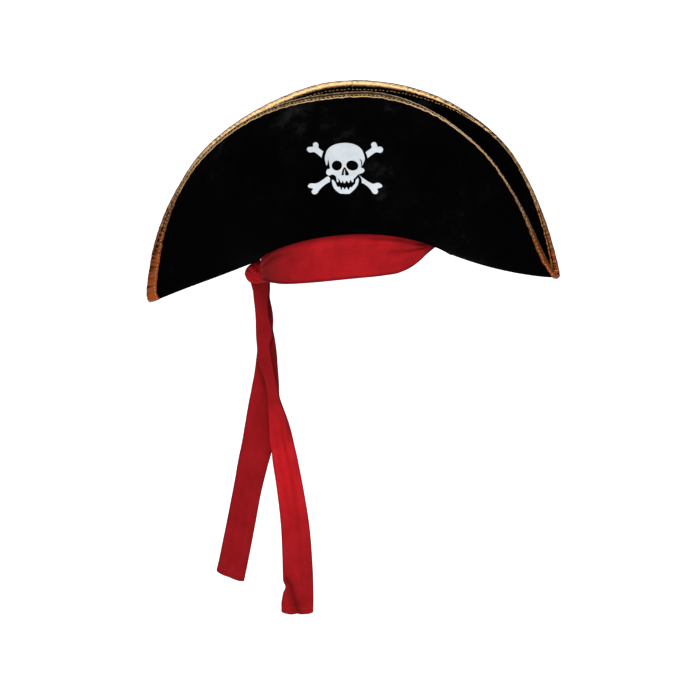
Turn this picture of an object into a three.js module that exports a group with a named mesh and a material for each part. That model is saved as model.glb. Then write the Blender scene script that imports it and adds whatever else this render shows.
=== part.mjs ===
// Pirate's cocked hat in black velour: a soft crown, a one-piece brim turned up in front and behind
// and folded to a point at each side, a gold lame binding round the brim's edge, a red sash inside
// the head opening, knotted at the left with two hanging tails, and a printed skull and crossbones.
// Millimetres. +Z is up, -Y is the front, +X is the side to the right of someone facing the hat.
// The origin is the middle of the head opening, level with the hat's sides, where a head carries it.
import * as THREE from 'three';
import { mergeVertices } from 'three/addons/utils/BufferGeometryUtils.js';
import { TessellateModifier } from 'three/addons/modifiers/TessellateModifier.js';

// The head opening, inside the sash.
const HEAD_HALF_WIDTH = 82;
const HEAD_HALF_DEPTH = 95;

// The seam between crown and brim: it arches up in front and behind, and is lower on the left.
const SEAM_HEIGHT = -1.8;
const SEAM_ARCH_HEIGHT = 33.5;
const SEAM_TILT_HEIGHT = 4.3;
const SEAM_TWIST_HEIGHT = 4.6;

// Walls and the gap that is left between one piece and the next. It is wider where one curved
// piece follows another, as their facets differ.
const CROWN_WALL = 1.6;
const BRIM_WALL = 2.4;
const SASH_WALL = 1.2;
const TAPE_WALL = 0.6;
const PRINT_WALL = 0.3;
const CLEARANCE = 0.3;
const RING_CLEARANCE = 0.6;
const TAPE_CLEARANCE = 0.55;

// The crown's top, above the origin, and how round its sides are: 2 is an ellipse, more is squarer.
const CROWN_TOP = 94;
const CROWN_ROUNDNESS = 2.2;

// The turned-up brim.
const HALF_SPAN = 186;
const CREST_HEIGHT = 150;
const CREST_HALF_DEPTH = 37;
const TIP_OPENING = 2.6;
const BRIM_SWELL = 16;
const BACK_SWELL = 10;
const KEEL_SAG = 4;

// The binding's width when folded over the edge, and both of its sides counted.
const TAPE_WIDTH = 14;

// How far the sash shows below the seam in front, and how far it goes up inside the crown.
const SASH_DROP = 39.6;
const SASH_TUCK = 11;

// The knot, from its middle, and where the sash stops short of it, in degrees either side.
const KNOT_HALF_LENGTH = 12.5;
const KNOT_HALF_DEPTH = 10.5;
const KNOT_HALF_HEIGHT = 9;
const KNOT_SETBACK = 5;
const KNOT_DROP = 12.9;
const KNOT_SQUARENESS = 2.6;
const SASH_END_TURN = 6.6;

// The two tails.
const TAIL_WIDTH = 27;
const TAIL_WALL = 1.2;
const LONG_TAIL_DROP = 304;
const SHORT_TAIL_DROP = 272;
const TAIL_SPREAD = 34;
const TAIL_GAP = 4.4;

// The print on the front: its width over the bones, and where its middle is.
const PRINT_WIDTH = 62.5;
const PRINT_HEIGHT_ON_BRIM = 86.8;
const PRINT_SIDE_SHIFT = 1.7;
const PRINT_TALLNESS = 0.955;

// Sizes that follow from those above. A fit is a gap or a wall further out each time.
const SASH_OUTSIDE = SASH_WALL;
const CROWN_INSIDE = SASH_OUTSIDE + RING_CLEARANCE;
const CROWN_OUTSIDE = CROWN_INSIDE + CROWN_WALL;
const BRIM_MIDDLE = CROWN_OUTSIDE + RING_CLEARANCE + BRIM_WALL / 2;
const TIP_HALF_GAP = BRIM_WALL / 2 + TAPE_CLEARANCE + TAPE_WALL + TIP_OPENING;

// The brim's edge, once round: turn in degrees from the right tip over the front to the left tip
// and back behind. Reach, depth and rise are shares of the half span, of the crest's half depth
// beyond the tip's half gap, and of the crest's height. Fold is 0 where the edge turns at a tip.
// Lap is the share of the binding's width that lies on the outside.
const EDGE = [
  { turn: 0, reach: 0.981, fold: 0, depth: 0, rise: -0.112, lap: 0.36 },
  { turn: 4, reach: 0.976, fold: -0.8, depth: 0, rise: -0.1, lap: 0.35 },
  { turn: 8, reach: 0.955, fold: -1, depth: -0.02, rise: -0.069, lap: 0.34 },
  { turn: 14, reach: 0.914, fold: -1, depth: -0.09, rise: 0.016, lap: 0.34 },
  { turn: 23, reach: 0.822, fold: -1, depth: -0.30, rise: 0.265, lap: 0.22 },
  { turn: 32, reach: 0.742, fold: -1, depth: -0.45, rise: 0.440, lap: 0.17 },
  { turn: 42, reach: 0.647, fold: -1, depth: -0.61, rise: 0.607, lap: 0.17 },
  { turn: 53, reach: 0.535, fold: -1, depth: -0.76, rise: 0.742, lap: 0.19 },
  { turn: 65, reach: 0.392, fold: -1, depth: -0.88, rise: 0.868, lap: 0.26 },
  { turn: 78, reach: 0.208, fold: -1, depth: -0.97, rise: 0.961, lap: 0.40 },
  { turn: 92, reach: 0.016, fold: -1, depth: -1, rise: 0.982, lap: 0.46 },
  { turn: 106, reach: -0.268, fold: -1, depth: -0.95, rise: 0.928, lap: 0.42 },
  { turn: 120, reach: -0.498, fold: -1, depth: -0.78, rise: 0.806, lap: 0.33 },
  { turn: 135, reach: -0.706, fold: -1, depth: -0.50, rise: 0.6, lap: 0.26 },
  { turn: 148, reach: -0.841, fold: -1, depth: -0.27, rise: 0.374, lap: 0.25 },
  { turn: 159, reach: -0.932, fold: -1, depth: -0.12, rise: 0.132, lap: 0.36 },
  { turn: 167, reach: -0.985, fold: -1, depth: -0.05, rise: -0.060, lap: 0.60 },
  { turn: 174, reach: -1.008, fold: -1, depth: -0.01, rise: -0.215, lap: 0.66 },
  { turn: 177, reach: -1.009, fold: -0.75, depth: 0, rise: -0.282, lap: 0.68 },
  { turn: 180, reach: -1.003, fold: 0, depth: 0, rise: -0.307, lap: 0.68 },
  { turn: 183, reach: -1.009, fold: 0.75, depth: 0, rise: -0.282, lap: 0.64 },
  { turn: 186, reach: -1.012, fold: 1, depth: 0.01, rise: -0.215, lap: 0.56 },
  { turn: 193, reach: -0.997, fold: 1, depth: 0.06, rise: -0.040, lap: 0.50 },
  { turn: 201, reach: -0.952, fold: 1, depth: 0.12, rise: 0.155, lap: 0.48 },
  { turn: 210, reach: -0.883, fold: 1, depth: 0.25, rise: 0.345, lap: 0.46 },
  { turn: 221, reach: -0.768, fold: 1, depth: 0.44, rise: 0.568, lap: 0.44 },
  { turn: 234, reach: -0.602, fold: 1, depth: 0.68, rise: 0.752, lap: 0.42 },
  { turn: 248, reach: -0.386, fold: 1, depth: 0.88, rise: 0.904, lap: 0.40 },
  { turn: 262, reach: -0.150, fold: 1, depth: 1, rise: 0.999, lap: 0.40 },
  { turn: 277, reach: 0.129, fold: 1, depth: 1.01, rise: 1.002, lap: 0.42 },
  { turn: 291, reach: 0.371, fold: 1, depth: 0.90, rise: 0.928, lap: 0.55 },
  { turn: 304, reach: 0.569, fold: 1, depth: 0.72, rise: 0.797, lap: 0.74 },
  { turn: 316, reach: 0.724, fold: 1, depth: 0.50, rise: 0.630, lap: 0.84 },
  { turn: 327, reach: 0.832, fold: 1, depth: 0.32, rise: 0.423, lap: 0.80 },
  { turn: 337, reach: 0.909, fold: 1, depth: 0.16, rise: 0.208, lap: 0.70 },
  { turn: 345, reach: 0.955, fold: 1, depth: 0.07, rise: 0.03, lap: 0.62 },
  { turn: 352, reach: 0.976, fold: 1, depth: 0.01, rise: -0.069, lap: 0.52 },
  { turn: 356, reach: 0.981, fold: 0.8, depth: 0, rise: -0.1, lap: 0.42 },
];

// The sash, once round: its lower edge as a share of the sash's drop below the seam, and its upper
// edge as a share of the tuck above it. It runs up inside the crown at the right.
const SASH = [
  { turn: 0, drop: -0.26, tuck: 2.2 },
  { turn: 12, drop: -0.19, tuck: 1.9 },
  { turn: 25, drop: 0.01, tuck: 1.5 },
  { turn: 34, drop: 0.25, tuck: 1.2 },
  { turn: 45, drop: 0.59, tuck: 1 },
  { turn: 55, drop: 0.80, tuck: 1 },
  { turn: 64, drop: 0.90, tuck: 1 },
  { turn: 76, drop: 0.97, tuck: 1 },
  { turn: 90, drop: 1, tuck: 1 },
  { turn: 107, drop: 0.97, tuck: 1 },
  { turn: 127, drop: 0.84, tuck: 1 },
  { turn: 145, drop: 0.66, tuck: 0.7 },
  { turn: 160, drop: 0.52, tuck: 0.1 },
  { turn: 174, drop: 0.45, tuck: -0.5 },
  { turn: 186, drop: 0.45, tuck: -0.5 },
  { turn: 200, drop: 0.46, tuck: 0.2 },
  { turn: 225, drop: 0.50, tuck: 1 },
  { turn: 270, drop: 0.52, tuck: 1 },
  { turn: 305, drop: 0.36, tuck: 1 },
  { turn: 335, drop: 0, tuck: 1.5 },
  { turn: 348, drop: -0.19, tuck: 1.9 },
];

// The tails, from the knot down. Down is a share of the tail's own drop. Aside and behind are how
// far its middle stands from the knot's, to the right and to the rear, as shares of the spread and
// of the gap between the tails. Gather is the swing of the cloth across its width, in radians,
// which narrows it, and face is how far it turns about its own length, in degrees.
const SHORT_TAIL = [
  { down: 0, aside: 0.03, behind: 0.62, gather: 1.35, face: 0 },
  { down: 0.08, aside: 0.07, behind: 0.62, gather: 1.42, face: 6 },
  { down: 0.16, aside: 0.11, behind: 0.68, gather: 1.46, face: 14 },
  { down: 0.23, aside: 0.15, behind: 0.85, gather: 1.30, face: 18 },
  { down: 0.32, aside: 0.1, behind: 1.1, gather: 0.98, face: 14 },
  { down: 0.47, aside: -0.05, behind: 1.35, gather: 0.36, face: 2 },
  { down: 0.65, aside: -0.28, behind: 1.4, gather: 0.14, face: -8 },
  { down: 0.78, aside: -0.48, behind: 1.3, gather: 0.16, face: -8 },
  { down: 0.90, aside: -0.68, behind: 1.1, gather: 0.24, face: -5 },
  { down: 1, aside: -0.87, behind: 1, gather: 0.3, face: 0 },
];
const LONG_TAIL = [
  { down: 0, aside: 0.02, behind: -0.62, gather: 1.35, face: 0 },
  { down: 0.07, aside: 0.09, behind: -0.62, gather: 1.40, face: -6 },
  { down: 0.14, aside: 0.14, behind: -0.68, gather: 1.46, face: -10 },
  { down: 0.20, aside: 0.16, behind: -0.85, gather: 1.30, face: -4 },
  { down: 0.25, aside: 0.19, behind: -1.1, gather: 1.28, face: 10 },
  { down: 0.32, aside: 0.25, behind: -1.3, gather: 1.34, face: 22 },
  { down: 0.39, aside: 0.35, behind: -1.4, gather: 1.14, face: 24 },
  { down: 0.47, aside: 0.51, behind: -1.4, gather: 0.80, face: 18 },
  { down: 0.54, aside: 0.64, behind: -1.35, gather: 0.52, face: 12 },
  { down: 0.64, aside: 0.79, behind: -1.3, gather: 0.34, face: 6 },
  { down: 0.78, aside: 0.94, behind: -1.2, gather: 0.22, face: 0 },
  { down: 0.93, aside: 1.02, behind: -1, gather: 0.20, face: 4 },
  { down: 1, aside: 1.02, behind: -0.9, gather: 0.16, face: 2 },
];

// The print's outlines, as rows of x and y from its middle, in hundredths of its width. The dome
// and the lower cheeks are smooth curves; the teeth and the temples' slits have corners.
const DOME = [
  [24.6, 3], [27, 7], [28.4, 12.3], [26.8, 18.5], [23.4, 25.2], [17.7, 30], [10, 33.1], [1.8, 34.2],
  [-6.5, 33.7], [-14.8, 31.7], [-21, 28.3], [-25.1, 23.6], [-26.6, 18.5], [-27.3, 13.3],
  [-26.4, 8.8], [-25, 5], [-22.8, 2.5],
];
const LEFT_CHEEK = [
  [-20.2, 0.6], [-20.4, -1.1], [-23.5, -2.2], [-24.8, -5.3], [-23.5, -8.4], [-21, -10.2],
  [-17.8, -9.9], [-14.8, -9.9], [-12.5, -11.3], [-10.3, -14.5], [-8.2, -17.3],
];
const RIGHT_CHEEK = [
  [13.6, -16.2], [16, -12.6], [17.9, -9], [21, -7.4], [24, -6.6], [26.4, -5], [27.3, -2.2],
  [25.4, 0.1], [22.7, 0.5],
];
const JAW_OUTSIDE = [
  [-17.3, -14.2], [-16.6, -19.7], [-14.8, -25.9], [-10.6, -31.6], [-5.5, -34.7], [0.2, -35.4],
  [6.9, -34.9], [12.6, -31.6], [17.2, -25.9], [19.3, -19.7], [19.1, -14.6], [17.7, -13],
];
const JAW_INSIDE = [
  [15.2, -18.7], [13.1, -22.8], [10, -25.4],
];
const JAW_INSIDE_LEFT = [
  [-7.5, -25.4], [-10.7, -22.8], [-12.7, -18.7], [-14.8, -15.1],
];
const EYES = [
  { x: -10.4, y: 3.5, halfWidth: 6.3, halfHeight: 6.2, tilt: 0 },
  { x: 10.9, y: 3.6, halfWidth: 7.9, halfHeight: 6, tilt: -14 },
];
const NOSTRILS = [
  [[-0.9, 0.1], [-0.6, -4.8], [-1.4, -9.2], [-3.3, -9], [-3.2, -4.5], [-2.2, -1.2]],
  [[0.5, 0.1], [2.6, -1.6], [4.6, -5.4], [5.2, -8], [3.4, -9.4], [1, -8.6], [0.9, -4.6]],
];
const TOOTH_TOPS = { upper: -17.4, upperTips: -20, lower: -26.2, lowerTips: -28.6 };
const BONES = [
  { name: 'upper_left', x: -42.9, y: 27.8, lean: 144.5, length: 17.2 },
  { name: 'upper_right', x: 43.6, y: 28, lean: 37, length: 17.4 },
  { name: 'lower_left', x: -43.2, y: -27.8, lean: 207.8, length: 24.6 },
  { name: 'lower_right', x: 44.1, y: -27.8, lean: -28, length: 23.6 },
];
const BONE_HALF_WIDTH = 3.8;
const KNOB_RADIUS = 3.6;
const KNOB_SPREAD = 4.3;

// How finely the pieces are faceted.
const BRIM_STEPS_ROUND = 76;
const BRIM_RISES = [0, 0.1, 0.25, 0.42, 0.6, 0.77, 0.89, 0.95, 1];
const TIP_CROWDING = 0.62;
const TAPE_BENDS = 3;
const CROWN_STEPS_ROUND = 52;
const CROWN_STEPS_UP = 7;
const SASH_STEPS_ROUND = 52;
const SASH_STEPS_UP = 3;
const TAIL_STEPS_DOWN = 22;
const TAIL_STEPS_ACROSS = 10;
const PRINT_FACET = 9;
const TAIL_WAVES = 1.5;

const rad = THREE.MathUtils.degToRad;

// A smooth value between rows 1 and 2 of four rows, each a place and a value: a cubic whose slope
// at a row is that of the straight line between its two neighbours.
function smooth(four, at) {
  const [a, b, c, d] = four;
  const span = c.place - b.place;
  const s = (at - b.place) / span;
  const slopeB = ((c.value - a.value) / (c.place - a.place)) * span;
  const slopeC = ((d.value - b.value) / (d.place - b.place)) * span;
  const s2 = s * s;
  const s3 = s2 * s;
  return (2 * s3 - 3 * s2 + 1) * b.value + (s3 - 2 * s2 + s) * slopeB
    + (3 * s2 - 2 * s3) * c.value + (s3 - s2) * slopeC;
}

// A column of a table that closes on itself after a full turn.
function around(rows, column, turn) {
  const at = ((turn % 360) + 360) % 360;
  const found = rows.findLastIndex((row) => row.turn <= at);
  const four = [found - 1, found, found + 1, found + 2].map((k) => {
    const laps = Math.floor(k / rows.length);
    const row = rows[k - laps * rows.length];
    return { place: row.turn + 360 * laps, value: row[column] };
  });
  return smooth(four, at);
}

// A column of a table that runs down from 0 to 1.
function along(rows, column, down) {
  const last = rows.length - 1;
  const found = Math.min(last - 1, rows.findLastIndex((row) => row.down <= down));
  const four = [found - 1, found, found + 1, found + 2].map((k) => {
    const inside = Math.max(0, Math.min(last, k));
    return { place: rows[inside].down + (k - inside) * 0.1, value: rows[inside][column] };
  });
  return smooth(four, down);
}

// A point on an ellipse that lies a distance outside the head opening, at a height.
function ring(turn, outside, height, shrink = 1) {
  const c = Math.cos(rad(turn));
  const s = Math.sin(rad(turn));
  return new THREE.Vector3(
    (HEAD_HALF_WIDTH + outside) * c * shrink,
    -(HEAD_HALF_DEPTH + outside) * s * shrink,
    height,
  );
}

// The seam's height round the head: a level, a tilt to the left, an arch in front and behind, and
// a twist that carries the arch towards the right.
function seamHeight(turn) {
  const c = Math.cos(rad(turn));
  const s = Math.abs(Math.sin(rad(turn)));
  return SEAM_HEIGHT + SEAM_TILT_HEIGHT * c + SEAM_ARCH_HEIGHT * s ** 1.4 + SEAM_TWIST_HEIGHT * s * c;
}

// The brim's edge in the middle of its wall.
function edgePoint(turn) {
  const depth = around(EDGE, 'depth', turn) * (CREST_HALF_DEPTH - TIP_HALF_GAP);
  return new THREE.Vector3(
    around(EDGE, 'reach', turn) * HALF_SPAN,
    depth + around(EDGE, 'fold', turn) * TIP_HALF_GAP,
    around(EDGE, 'rise', turn) * CREST_HEIGHT,
  );
}

// The middle of the brim's wall: straight from the seam up to the edge, swollen outwards in
// between, and sagging along the fold at the right. Behind, it stands upright towards its edge.
function brimPoint(turn, up) {
  const c = Math.cos(rad(turn));
  const s = Math.sin(rad(turn));
  const hump = 4 * up * (1 - up);
  const behind = THREE.MathUtils.smoothstep(-s, 0, 0.6);
  const backHump = 6.75 * up * (1 - up) ** 2;
  const seam = ring(turn, BRIM_MIDDLE, seamHeight(turn));
  const edge = edgePoint(turn);
  const point = seam.clone().lerp(edge, up);
  point.y += (edge.y - seam.y) * (THREE.MathUtils.smoothstep(up, 0, 1) - up) * behind;
  const outwards = new THREE.Vector3(c / HEAD_HALF_WIDTH, -s / HEAD_HALF_DEPTH, 0).normalize();
  const swell = THREE.MathUtils.lerp(hump * BRIM_SWELL, backHump * BACK_SWELL, behind);
  point.addScaledVector(outwards, swell * Math.abs(s));
  point.z -= hump * KEEL_SAG * Math.max(0, c) ** 5;
  return point;
}

// The brim's surface at a distance outside the middle of its wall.
function brimSurface(turn, up, outside) {
  const step = 0.01;
  const round = brimPoint(turn + 0.2, up).sub(brimPoint(turn - 0.2, up));
  const low = Math.max(0, up - step);
  const high = Math.min(1, up + step);
  const rise = brimPoint(turn, high).sub(brimPoint(turn, low));
  const out = round.cross(rise).normalize();
  return brimPoint(turn, up).addScaledVector(out, -outside);
}

// The turns at which the brim and its binding have a section, closer together at the tips.
const brimTurns = Array.from({ length: BRIM_STEPS_ROUND }, (_, i) => {
  const share = i / BRIM_STEPS_ROUND;
  return 360 * (share - (TIP_CROWDING * Math.sin(4 * Math.PI * share)) / (4 * Math.PI));
});

// How far the crown's side has come in at a height, as a share of its width at the seam.
function crownShare(turn, height, top) {
  const seam = seamHeight(turn);
  const up = Math.min(1, Math.max(0, (height - seam) / (top - seam)));
  return (1 - up ** CROWN_ROUNDNESS) ** (1 / CROWN_ROUNDNESS);
}

// A closed solid between two faces of a sheet, each a grid of points, outer[i][j] and inner[i][j].
// With loop, the last row of the grid joins the first.
function sheetSolid(outer, inner, loop) {
  const triangles = [];
  const quad = (a, b, c, d) => {
    [[a, b, c], [a, c, d]].forEach((t) => {
      const [p, q, r] = t;
      if (p.distanceTo(q) > 1e-6 && q.distanceTo(r) > 1e-6 && r.distanceTo(p) > 1e-6) {
        triangles.push(...t);
      }
    });
  };
  const rows = outer.length;
  const last = outer[0].length - 1;
  for (let i = 0; i < (loop ? rows : rows - 1); i += 1) {
    const next = (i + 1) % rows;
    for (let j = 0; j < last; j += 1) {
      quad(outer[i][j], outer[next][j], outer[next][j + 1], outer[i][j + 1]);
      quad(inner[i][j], inner[i][j + 1], inner[next][j + 1], inner[next][j]);
    }
    quad(inner[i][0], inner[next][0], outer[next][0], outer[i][0]);
    quad(outer[i][last], outer[next][last], inner[next][last], inner[i][last]);
  }
  if (!loop) {
    for (let j = 0; j < last; j += 1) {
      quad(inner[0][j + 1], inner[0][j], outer[0][j], outer[0][j + 1]);
      quad(outer[rows - 1][j + 1], outer[rows - 1][j], inner[rows - 1][j], inner[rows - 1][j + 1]);
    }
  }
  const geometry = new THREE.BufferGeometry();
  const places = new Float32Array(triangles.flatMap((p) => [p.x, p.y, p.z]));
  geometry.setAttribute('position', new THREE.BufferAttribute(places, 3));
  return facingOut(mergeVertices(geometry, 1e-5));
}

// Turns a closed mesh's faces outwards if they face inwards.
function facingOut(geometry) {
  const place = geometry.attributes.position;
  const index = geometry.index.array;
  const [a, b, c] = [new THREE.Vector3(), new THREE.Vector3(), new THREE.Vector3()];
  let volume = 0;
  for (let i = 0; i < index.length; i += 3) {
    a.fromBufferAttribute(place, index[i]);
    b.fromBufferAttribute(place, index[i + 1]);
    c.fromBufferAttribute(place, index[i + 2]);
    volume += a.dot(b.cross(c));
  }
  if (volume < 0) {
    for (let i = 0; i < index.length; i += 3) {
      [index[i], index[i + 1]] = [index[i + 1], index[i]];
    }
  }
  geometry.computeVertexNormals();
  return geometry;
}

function brimGeometry() {
  const face = (outside) => brimTurns.map(
    (turn) => BRIM_RISES.map((up) => brimSurface(turn, up, outside)),
  );
  return sheetSolid(face(BRIM_WALL / 2), face(-BRIM_WALL / 2), true);
}

// The binding: a tape folded over the brim's edge, with one leg on each side.
function bindingGeometry() {
  const length = (turn) => brimPoint(turn, 0.9).distanceTo(brimPoint(turn, 1)) / 0.1;
  const near = BRIM_WALL / 2 + TAPE_CLEARANCE;
  const section = (turn, thick) => {
    const lap = around(EDGE, 'lap', turn);
    const outerLeg = (lap * TAPE_WIDTH) / length(turn);
    const innerLeg = ((1 - lap) * TAPE_WIDTH) / length(turn);
    const edge = brimPoint(turn, 1);
    const out = brimSurface(turn, 1, 1).sub(edge);
    const beyond = edge.clone().sub(brimPoint(turn, 0.97)).normalize();
    const points = [brimSurface(turn, 1 - outerLeg, near + thick)];
    for (let k = 0; k <= TAPE_BENDS; k += 1) {
      const angle = (Math.PI * k) / TAPE_BENDS;
      const rise = TAPE_CLEARANCE + Math.sin(angle) * (near + thick) * 0.5 + thick * 0.5;
      points.push(edge.clone()
        .addScaledVector(out, Math.cos(angle) * (near + thick))
        .addScaledVector(beyond, rise));
    }
    points.push(brimSurface(turn, 1 - innerLeg, -near - thick));
    return points;
  };
  const face = (thick) => brimTurns.map((turn) => section(turn, thick));
  return sheetSolid(face(TAPE_WALL), face(0), true);
}

function crownGeometry() {
  const face = (outside, top) => Array.from({ length: CROWN_STEPS_ROUND }, (_, i) => {
    const turn = (360 * i) / CROWN_STEPS_ROUND;
    const seam = seamHeight(turn);
    const hem = seam - (BRIM_WALL / 2) * Math.abs(Math.cos(rad(turn)));
    const points = [ring(turn, outside, hem)];
    for (let k = 0; k <= CROWN_STEPS_UP; k += 1) {
      const up = Math.sin((Math.PI / 2) * (k / CROWN_STEPS_UP));
      const height = seam + (top - seam) * up;
      if (k === CROWN_STEPS_UP) {
        points.push(new THREE.Vector3(0, 0, top));
      } else {
        points.push(ring(turn, outside, height, crownShare(turn, height, top)));
      }
    }
    return points;
  });
  return sheetSolid(
    face(CROWN_OUTSIDE, CROWN_TOP),
    face(CROWN_INSIDE, CROWN_TOP - CROWN_WALL),
    true,
  );
}

// The sash: a band that follows the crown's inside above the seam and hangs free below it.
function sashGeometry() {
  const start = 180 + SASH_END_TURN;
  const sweep = 360 - 2 * SASH_END_TURN;
  const face = (outside) => Array.from({ length: SASH_STEPS_ROUND + 1 }, (_, i) => {
    const turn = start + (sweep * i) / SASH_STEPS_ROUND;
    const seam = seamHeight(turn);
    const low = seam - around(SASH, 'drop', turn) * SASH_DROP;
    const high = seam + around(SASH, 'tuck', turn) * SASH_TUCK;
    return Array.from({ length: SASH_STEPS_UP + 1 }, (__, k) => {
      const height = low + ((high - low) * k) / SASH_STEPS_UP;
      return ring(turn, outside, height, crownShare(turn, height, CROWN_TOP - CROWN_WALL));
    });
  });
  return sheetSolid(face(SASH_OUTSIDE), face(0), false);
}

// The knot's middle hangs below the seam at the left. It is a ball squared a little, so that its
// corner fills the angle under the brim.
const knotMiddle = ring(180, KNOT_SETBACK, seamHeight(180) - KNOT_DROP);

function knotGeometry() {
  const knot = new THREE.SphereGeometry(1, 18, 12);
  const place = knot.attributes.position;
  for (let i = 0; i < place.count; i += 1) {
    const point = new THREE.Vector3().fromBufferAttribute(place, i);
    const reach = [point.x, point.y, point.z]
      .reduce((sum, v) => sum + Math.abs(v) ** KNOT_SQUARENESS, 0) ** (1 / KNOT_SQUARENESS);
    point.divideScalar(reach);
    place.setXYZ(i, point.x, point.y, point.z);
  }
  knot.scale(KNOT_HALF_LENGTH, KNOT_HALF_DEPTH, KNOT_HALF_HEIGHT);
  knot.translate(knotMiddle.x, knotMiddle.y, knotMiddle.z);
  knot.deleteAttribute('normal');
  knot.deleteAttribute('uv');
  const merged = mergeVertices(knot, 1e-4);
  merged.computeVertexNormals();
  return merged;
}

// A tail: a strip of cloth gathered in waves across its width. The cloth keeps its width, so its
// outline narrows as the waves swing further.
function tailGeometry(rows, drop) {
  const top = knotMiddle.z - KNOT_HALF_HEIGHT - CLEARANCE;
  const middle = (down) => new THREE.Vector3(
    knotMiddle.x + along(rows, 'aside', down) * TAIL_SPREAD,
    along(rows, 'behind', down) * TAIL_GAP,
    top - down * drop,
  );
  const faces = { outer: [], inner: [] };
  for (let i = 0; i <= TAIL_STEPS_DOWN; i += 1) {
    const down = i / TAIL_STEPS_DOWN;
    const swing = along(rows, 'gather', down);
    const face = rad(along(rows, 'face', down));
    const run = middle(Math.min(1, down + 0.01)).sub(middle(Math.max(0, down - 0.01))).normalize();
    const front = new THREE.Vector3(Math.sin(face), -Math.cos(face), 0);
    const across = new THREE.Vector3().crossVectors(front, run).normalize();
    const line = [];
    const place = new THREE.Vector2();
    const step = TAIL_WIDTH / TAIL_STEPS_ACROSS;
    for (let j = 0; j <= TAIL_STEPS_ACROSS; j += 1) {
      const share = j / TAIL_STEPS_ACROSS;
      line.push({ at: place.clone(), lean: swing * Math.cos(2 * Math.PI * TAIL_WAVES * share) });
      const lean = swing * Math.cos(2 * Math.PI * TAIL_WAVES * (share + 0.5 / TAIL_STEPS_ACROSS));
      place.add(new THREE.Vector2(Math.cos(lean) * step, Math.sin(lean) * step));
    }
    const centre = line.reduce((sum, p) => sum.add(p.at), new THREE.Vector2())
      .divideScalar(line.length);
    const side = (out) => line.map(({ at, lean }) => middle(down)
      .addScaledVector(across, at.x - centre.x - Math.sin(lean) * out)
      .addScaledVector(front, at.y - centre.y + Math.cos(lean) * out));
    faces.outer.push(side(TAIL_WALL / 2));
    faces.inner.push(side(-TAIL_WALL / 2));
  }
  return sheetSolid(faces.outer, faces.inner, false);
}

// A point of the print, x and y in hundredths of its width, laid on the brim's front.
function printPoint(x, y, outside) {
  const goalX = PRINT_SIDE_SHIFT + (x / 100) * PRINT_WIDTH;
  const goalZ = PRINT_HEIGHT_ON_BRIM + (y / 100) * PRINT_WIDTH * PRINT_TALLNESS;
  let turn = 90 - goalX * 0.4;
  let up = 0.45;
  for (let k = 0; k < 12; k += 1) {
    const here = brimSurface(turn, up, outside);
    const aside = brimSurface(turn + 0.5, up, outside).sub(here).multiplyScalar(2);
    const above = brimSurface(turn, up + 0.02, outside).sub(here).multiplyScalar(50);
    const missX = goalX - here.x;
    const missZ = goalZ - here.z;
    const spread = aside.x * above.z - aside.z * above.x;
    turn += (missX * above.z - missZ * above.x) / spread;
    up += (missZ * aside.x - missX * aside.z) / spread;
  }
  return brimSurface(turn, up, outside);
}

// A flat shape, made into a film that follows the brim.
function printGeometry(shape) {
  const slab = new THREE.ExtrudeGeometry(shape, { depth: 1, bevelEnabled: false, curveSegments: 5 });
  const facet = (PRINT_FACET / PRINT_WIDTH) * 100;
  const fine = mergeVertices(new TessellateModifier(facet, 8).modify(slab), 1e-5);
  const place = fine.attributes.position;
  for (let i = 0; i < place.count; i += 1) {
    const outside = BRIM_WALL / 2 + CLEARANCE + place.getZ(i) * PRINT_WALL;
    const point = printPoint(place.getX(i), place.getY(i), outside);
    place.setXYZ(i, point.x, point.y, point.z);
  }
  const bare = new THREE.BufferGeometry();
  bare.setAttribute('position', place);
  bare.setIndex(fine.index);
  return facingOut(mergeVertices(bare, 1e-5));
}

const vectors = (rows) => rows.map(([x, y]) => new THREE.Vector2(x, y));

// A smooth run of points through the rows of a table.
function flowing(rows, steps) {
  return new THREE.SplineCurve(vectors(rows)).getPoints(steps);
}

// A row of teeth from one side to the other, as points on a zigzag.
function teeth(from, to, count, gums, tips) {
  return Array.from({ length: 2 * count + 1 }, (_, k) => new THREE.Vector2(
    from + ((to - from) * k) / (2 * count),
    k % 2 === 0 ? gums : tips,
  ));
}

function skullShape() {
  const { upper, upperTips } = TOOTH_TOPS;
  const outline = [
    ...flowing(RIGHT_CHEEK, 12),
    ...vectors([[22.9, 4.5], [21, 11.5], [23.8, 7.6]]),
    ...flowing(DOME, 26),
    ...vectors([[-23, 7.4], [-22, 11], [-21, 4.4]]),
    ...flowing(LEFT_CHEEK, 14),
    ...teeth(-7, 12.6, 5, upper, upperTips),
  ];
  const shape = new THREE.Shape(outline);
  EYES.forEach((eye) => {
    const hole = new THREE.Path();
    hole.absellipse(eye.x, eye.y, eye.halfWidth, eye.halfHeight, 0, 2 * Math.PI, true, rad(eye.tilt));
    shape.holes.push(hole);
  });
  NOSTRILS.forEach((rows) => shape.holes.push(new THREE.Path(vectors(rows))));
  return shape;
}

function jawShape() {
  const { lower, lowerTips } = TOOTH_TOPS;
  return new THREE.Shape([
    ...flowing(JAW_OUTSIDE, 16),
    ...vectors(JAW_INSIDE),
    ...teeth(8.6, -6.2, 4, lowerTips, lower),
    ...vectors(JAW_INSIDE_LEFT),
  ]);
}

// A bone, from its root by the skull out to its two knobs.
function boneShape({ x, y, lean, length }) {
  const shape = new THREE.Shape();
  shape.moveTo(-length, -BONE_HALF_WIDTH);
  shape.lineTo(-KNOB_RADIUS, -BONE_HALF_WIDTH);
  shape.absarc(0, -KNOB_SPREAD, KNOB_RADIUS, rad(190), rad(415), false);
  shape.absarc(0, KNOB_SPREAD, KNOB_RADIUS, rad(-55), rad(170), false);
  shape.lineTo(-length, BONE_HALF_WIDTH);
  const turned = shape.getPoints(5).map((p) => p
    .rotateAround(new THREE.Vector2(), rad(lean))
    .add(new THREE.Vector2(x, y)));
  return new THREE.Shape(turned);
}

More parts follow.
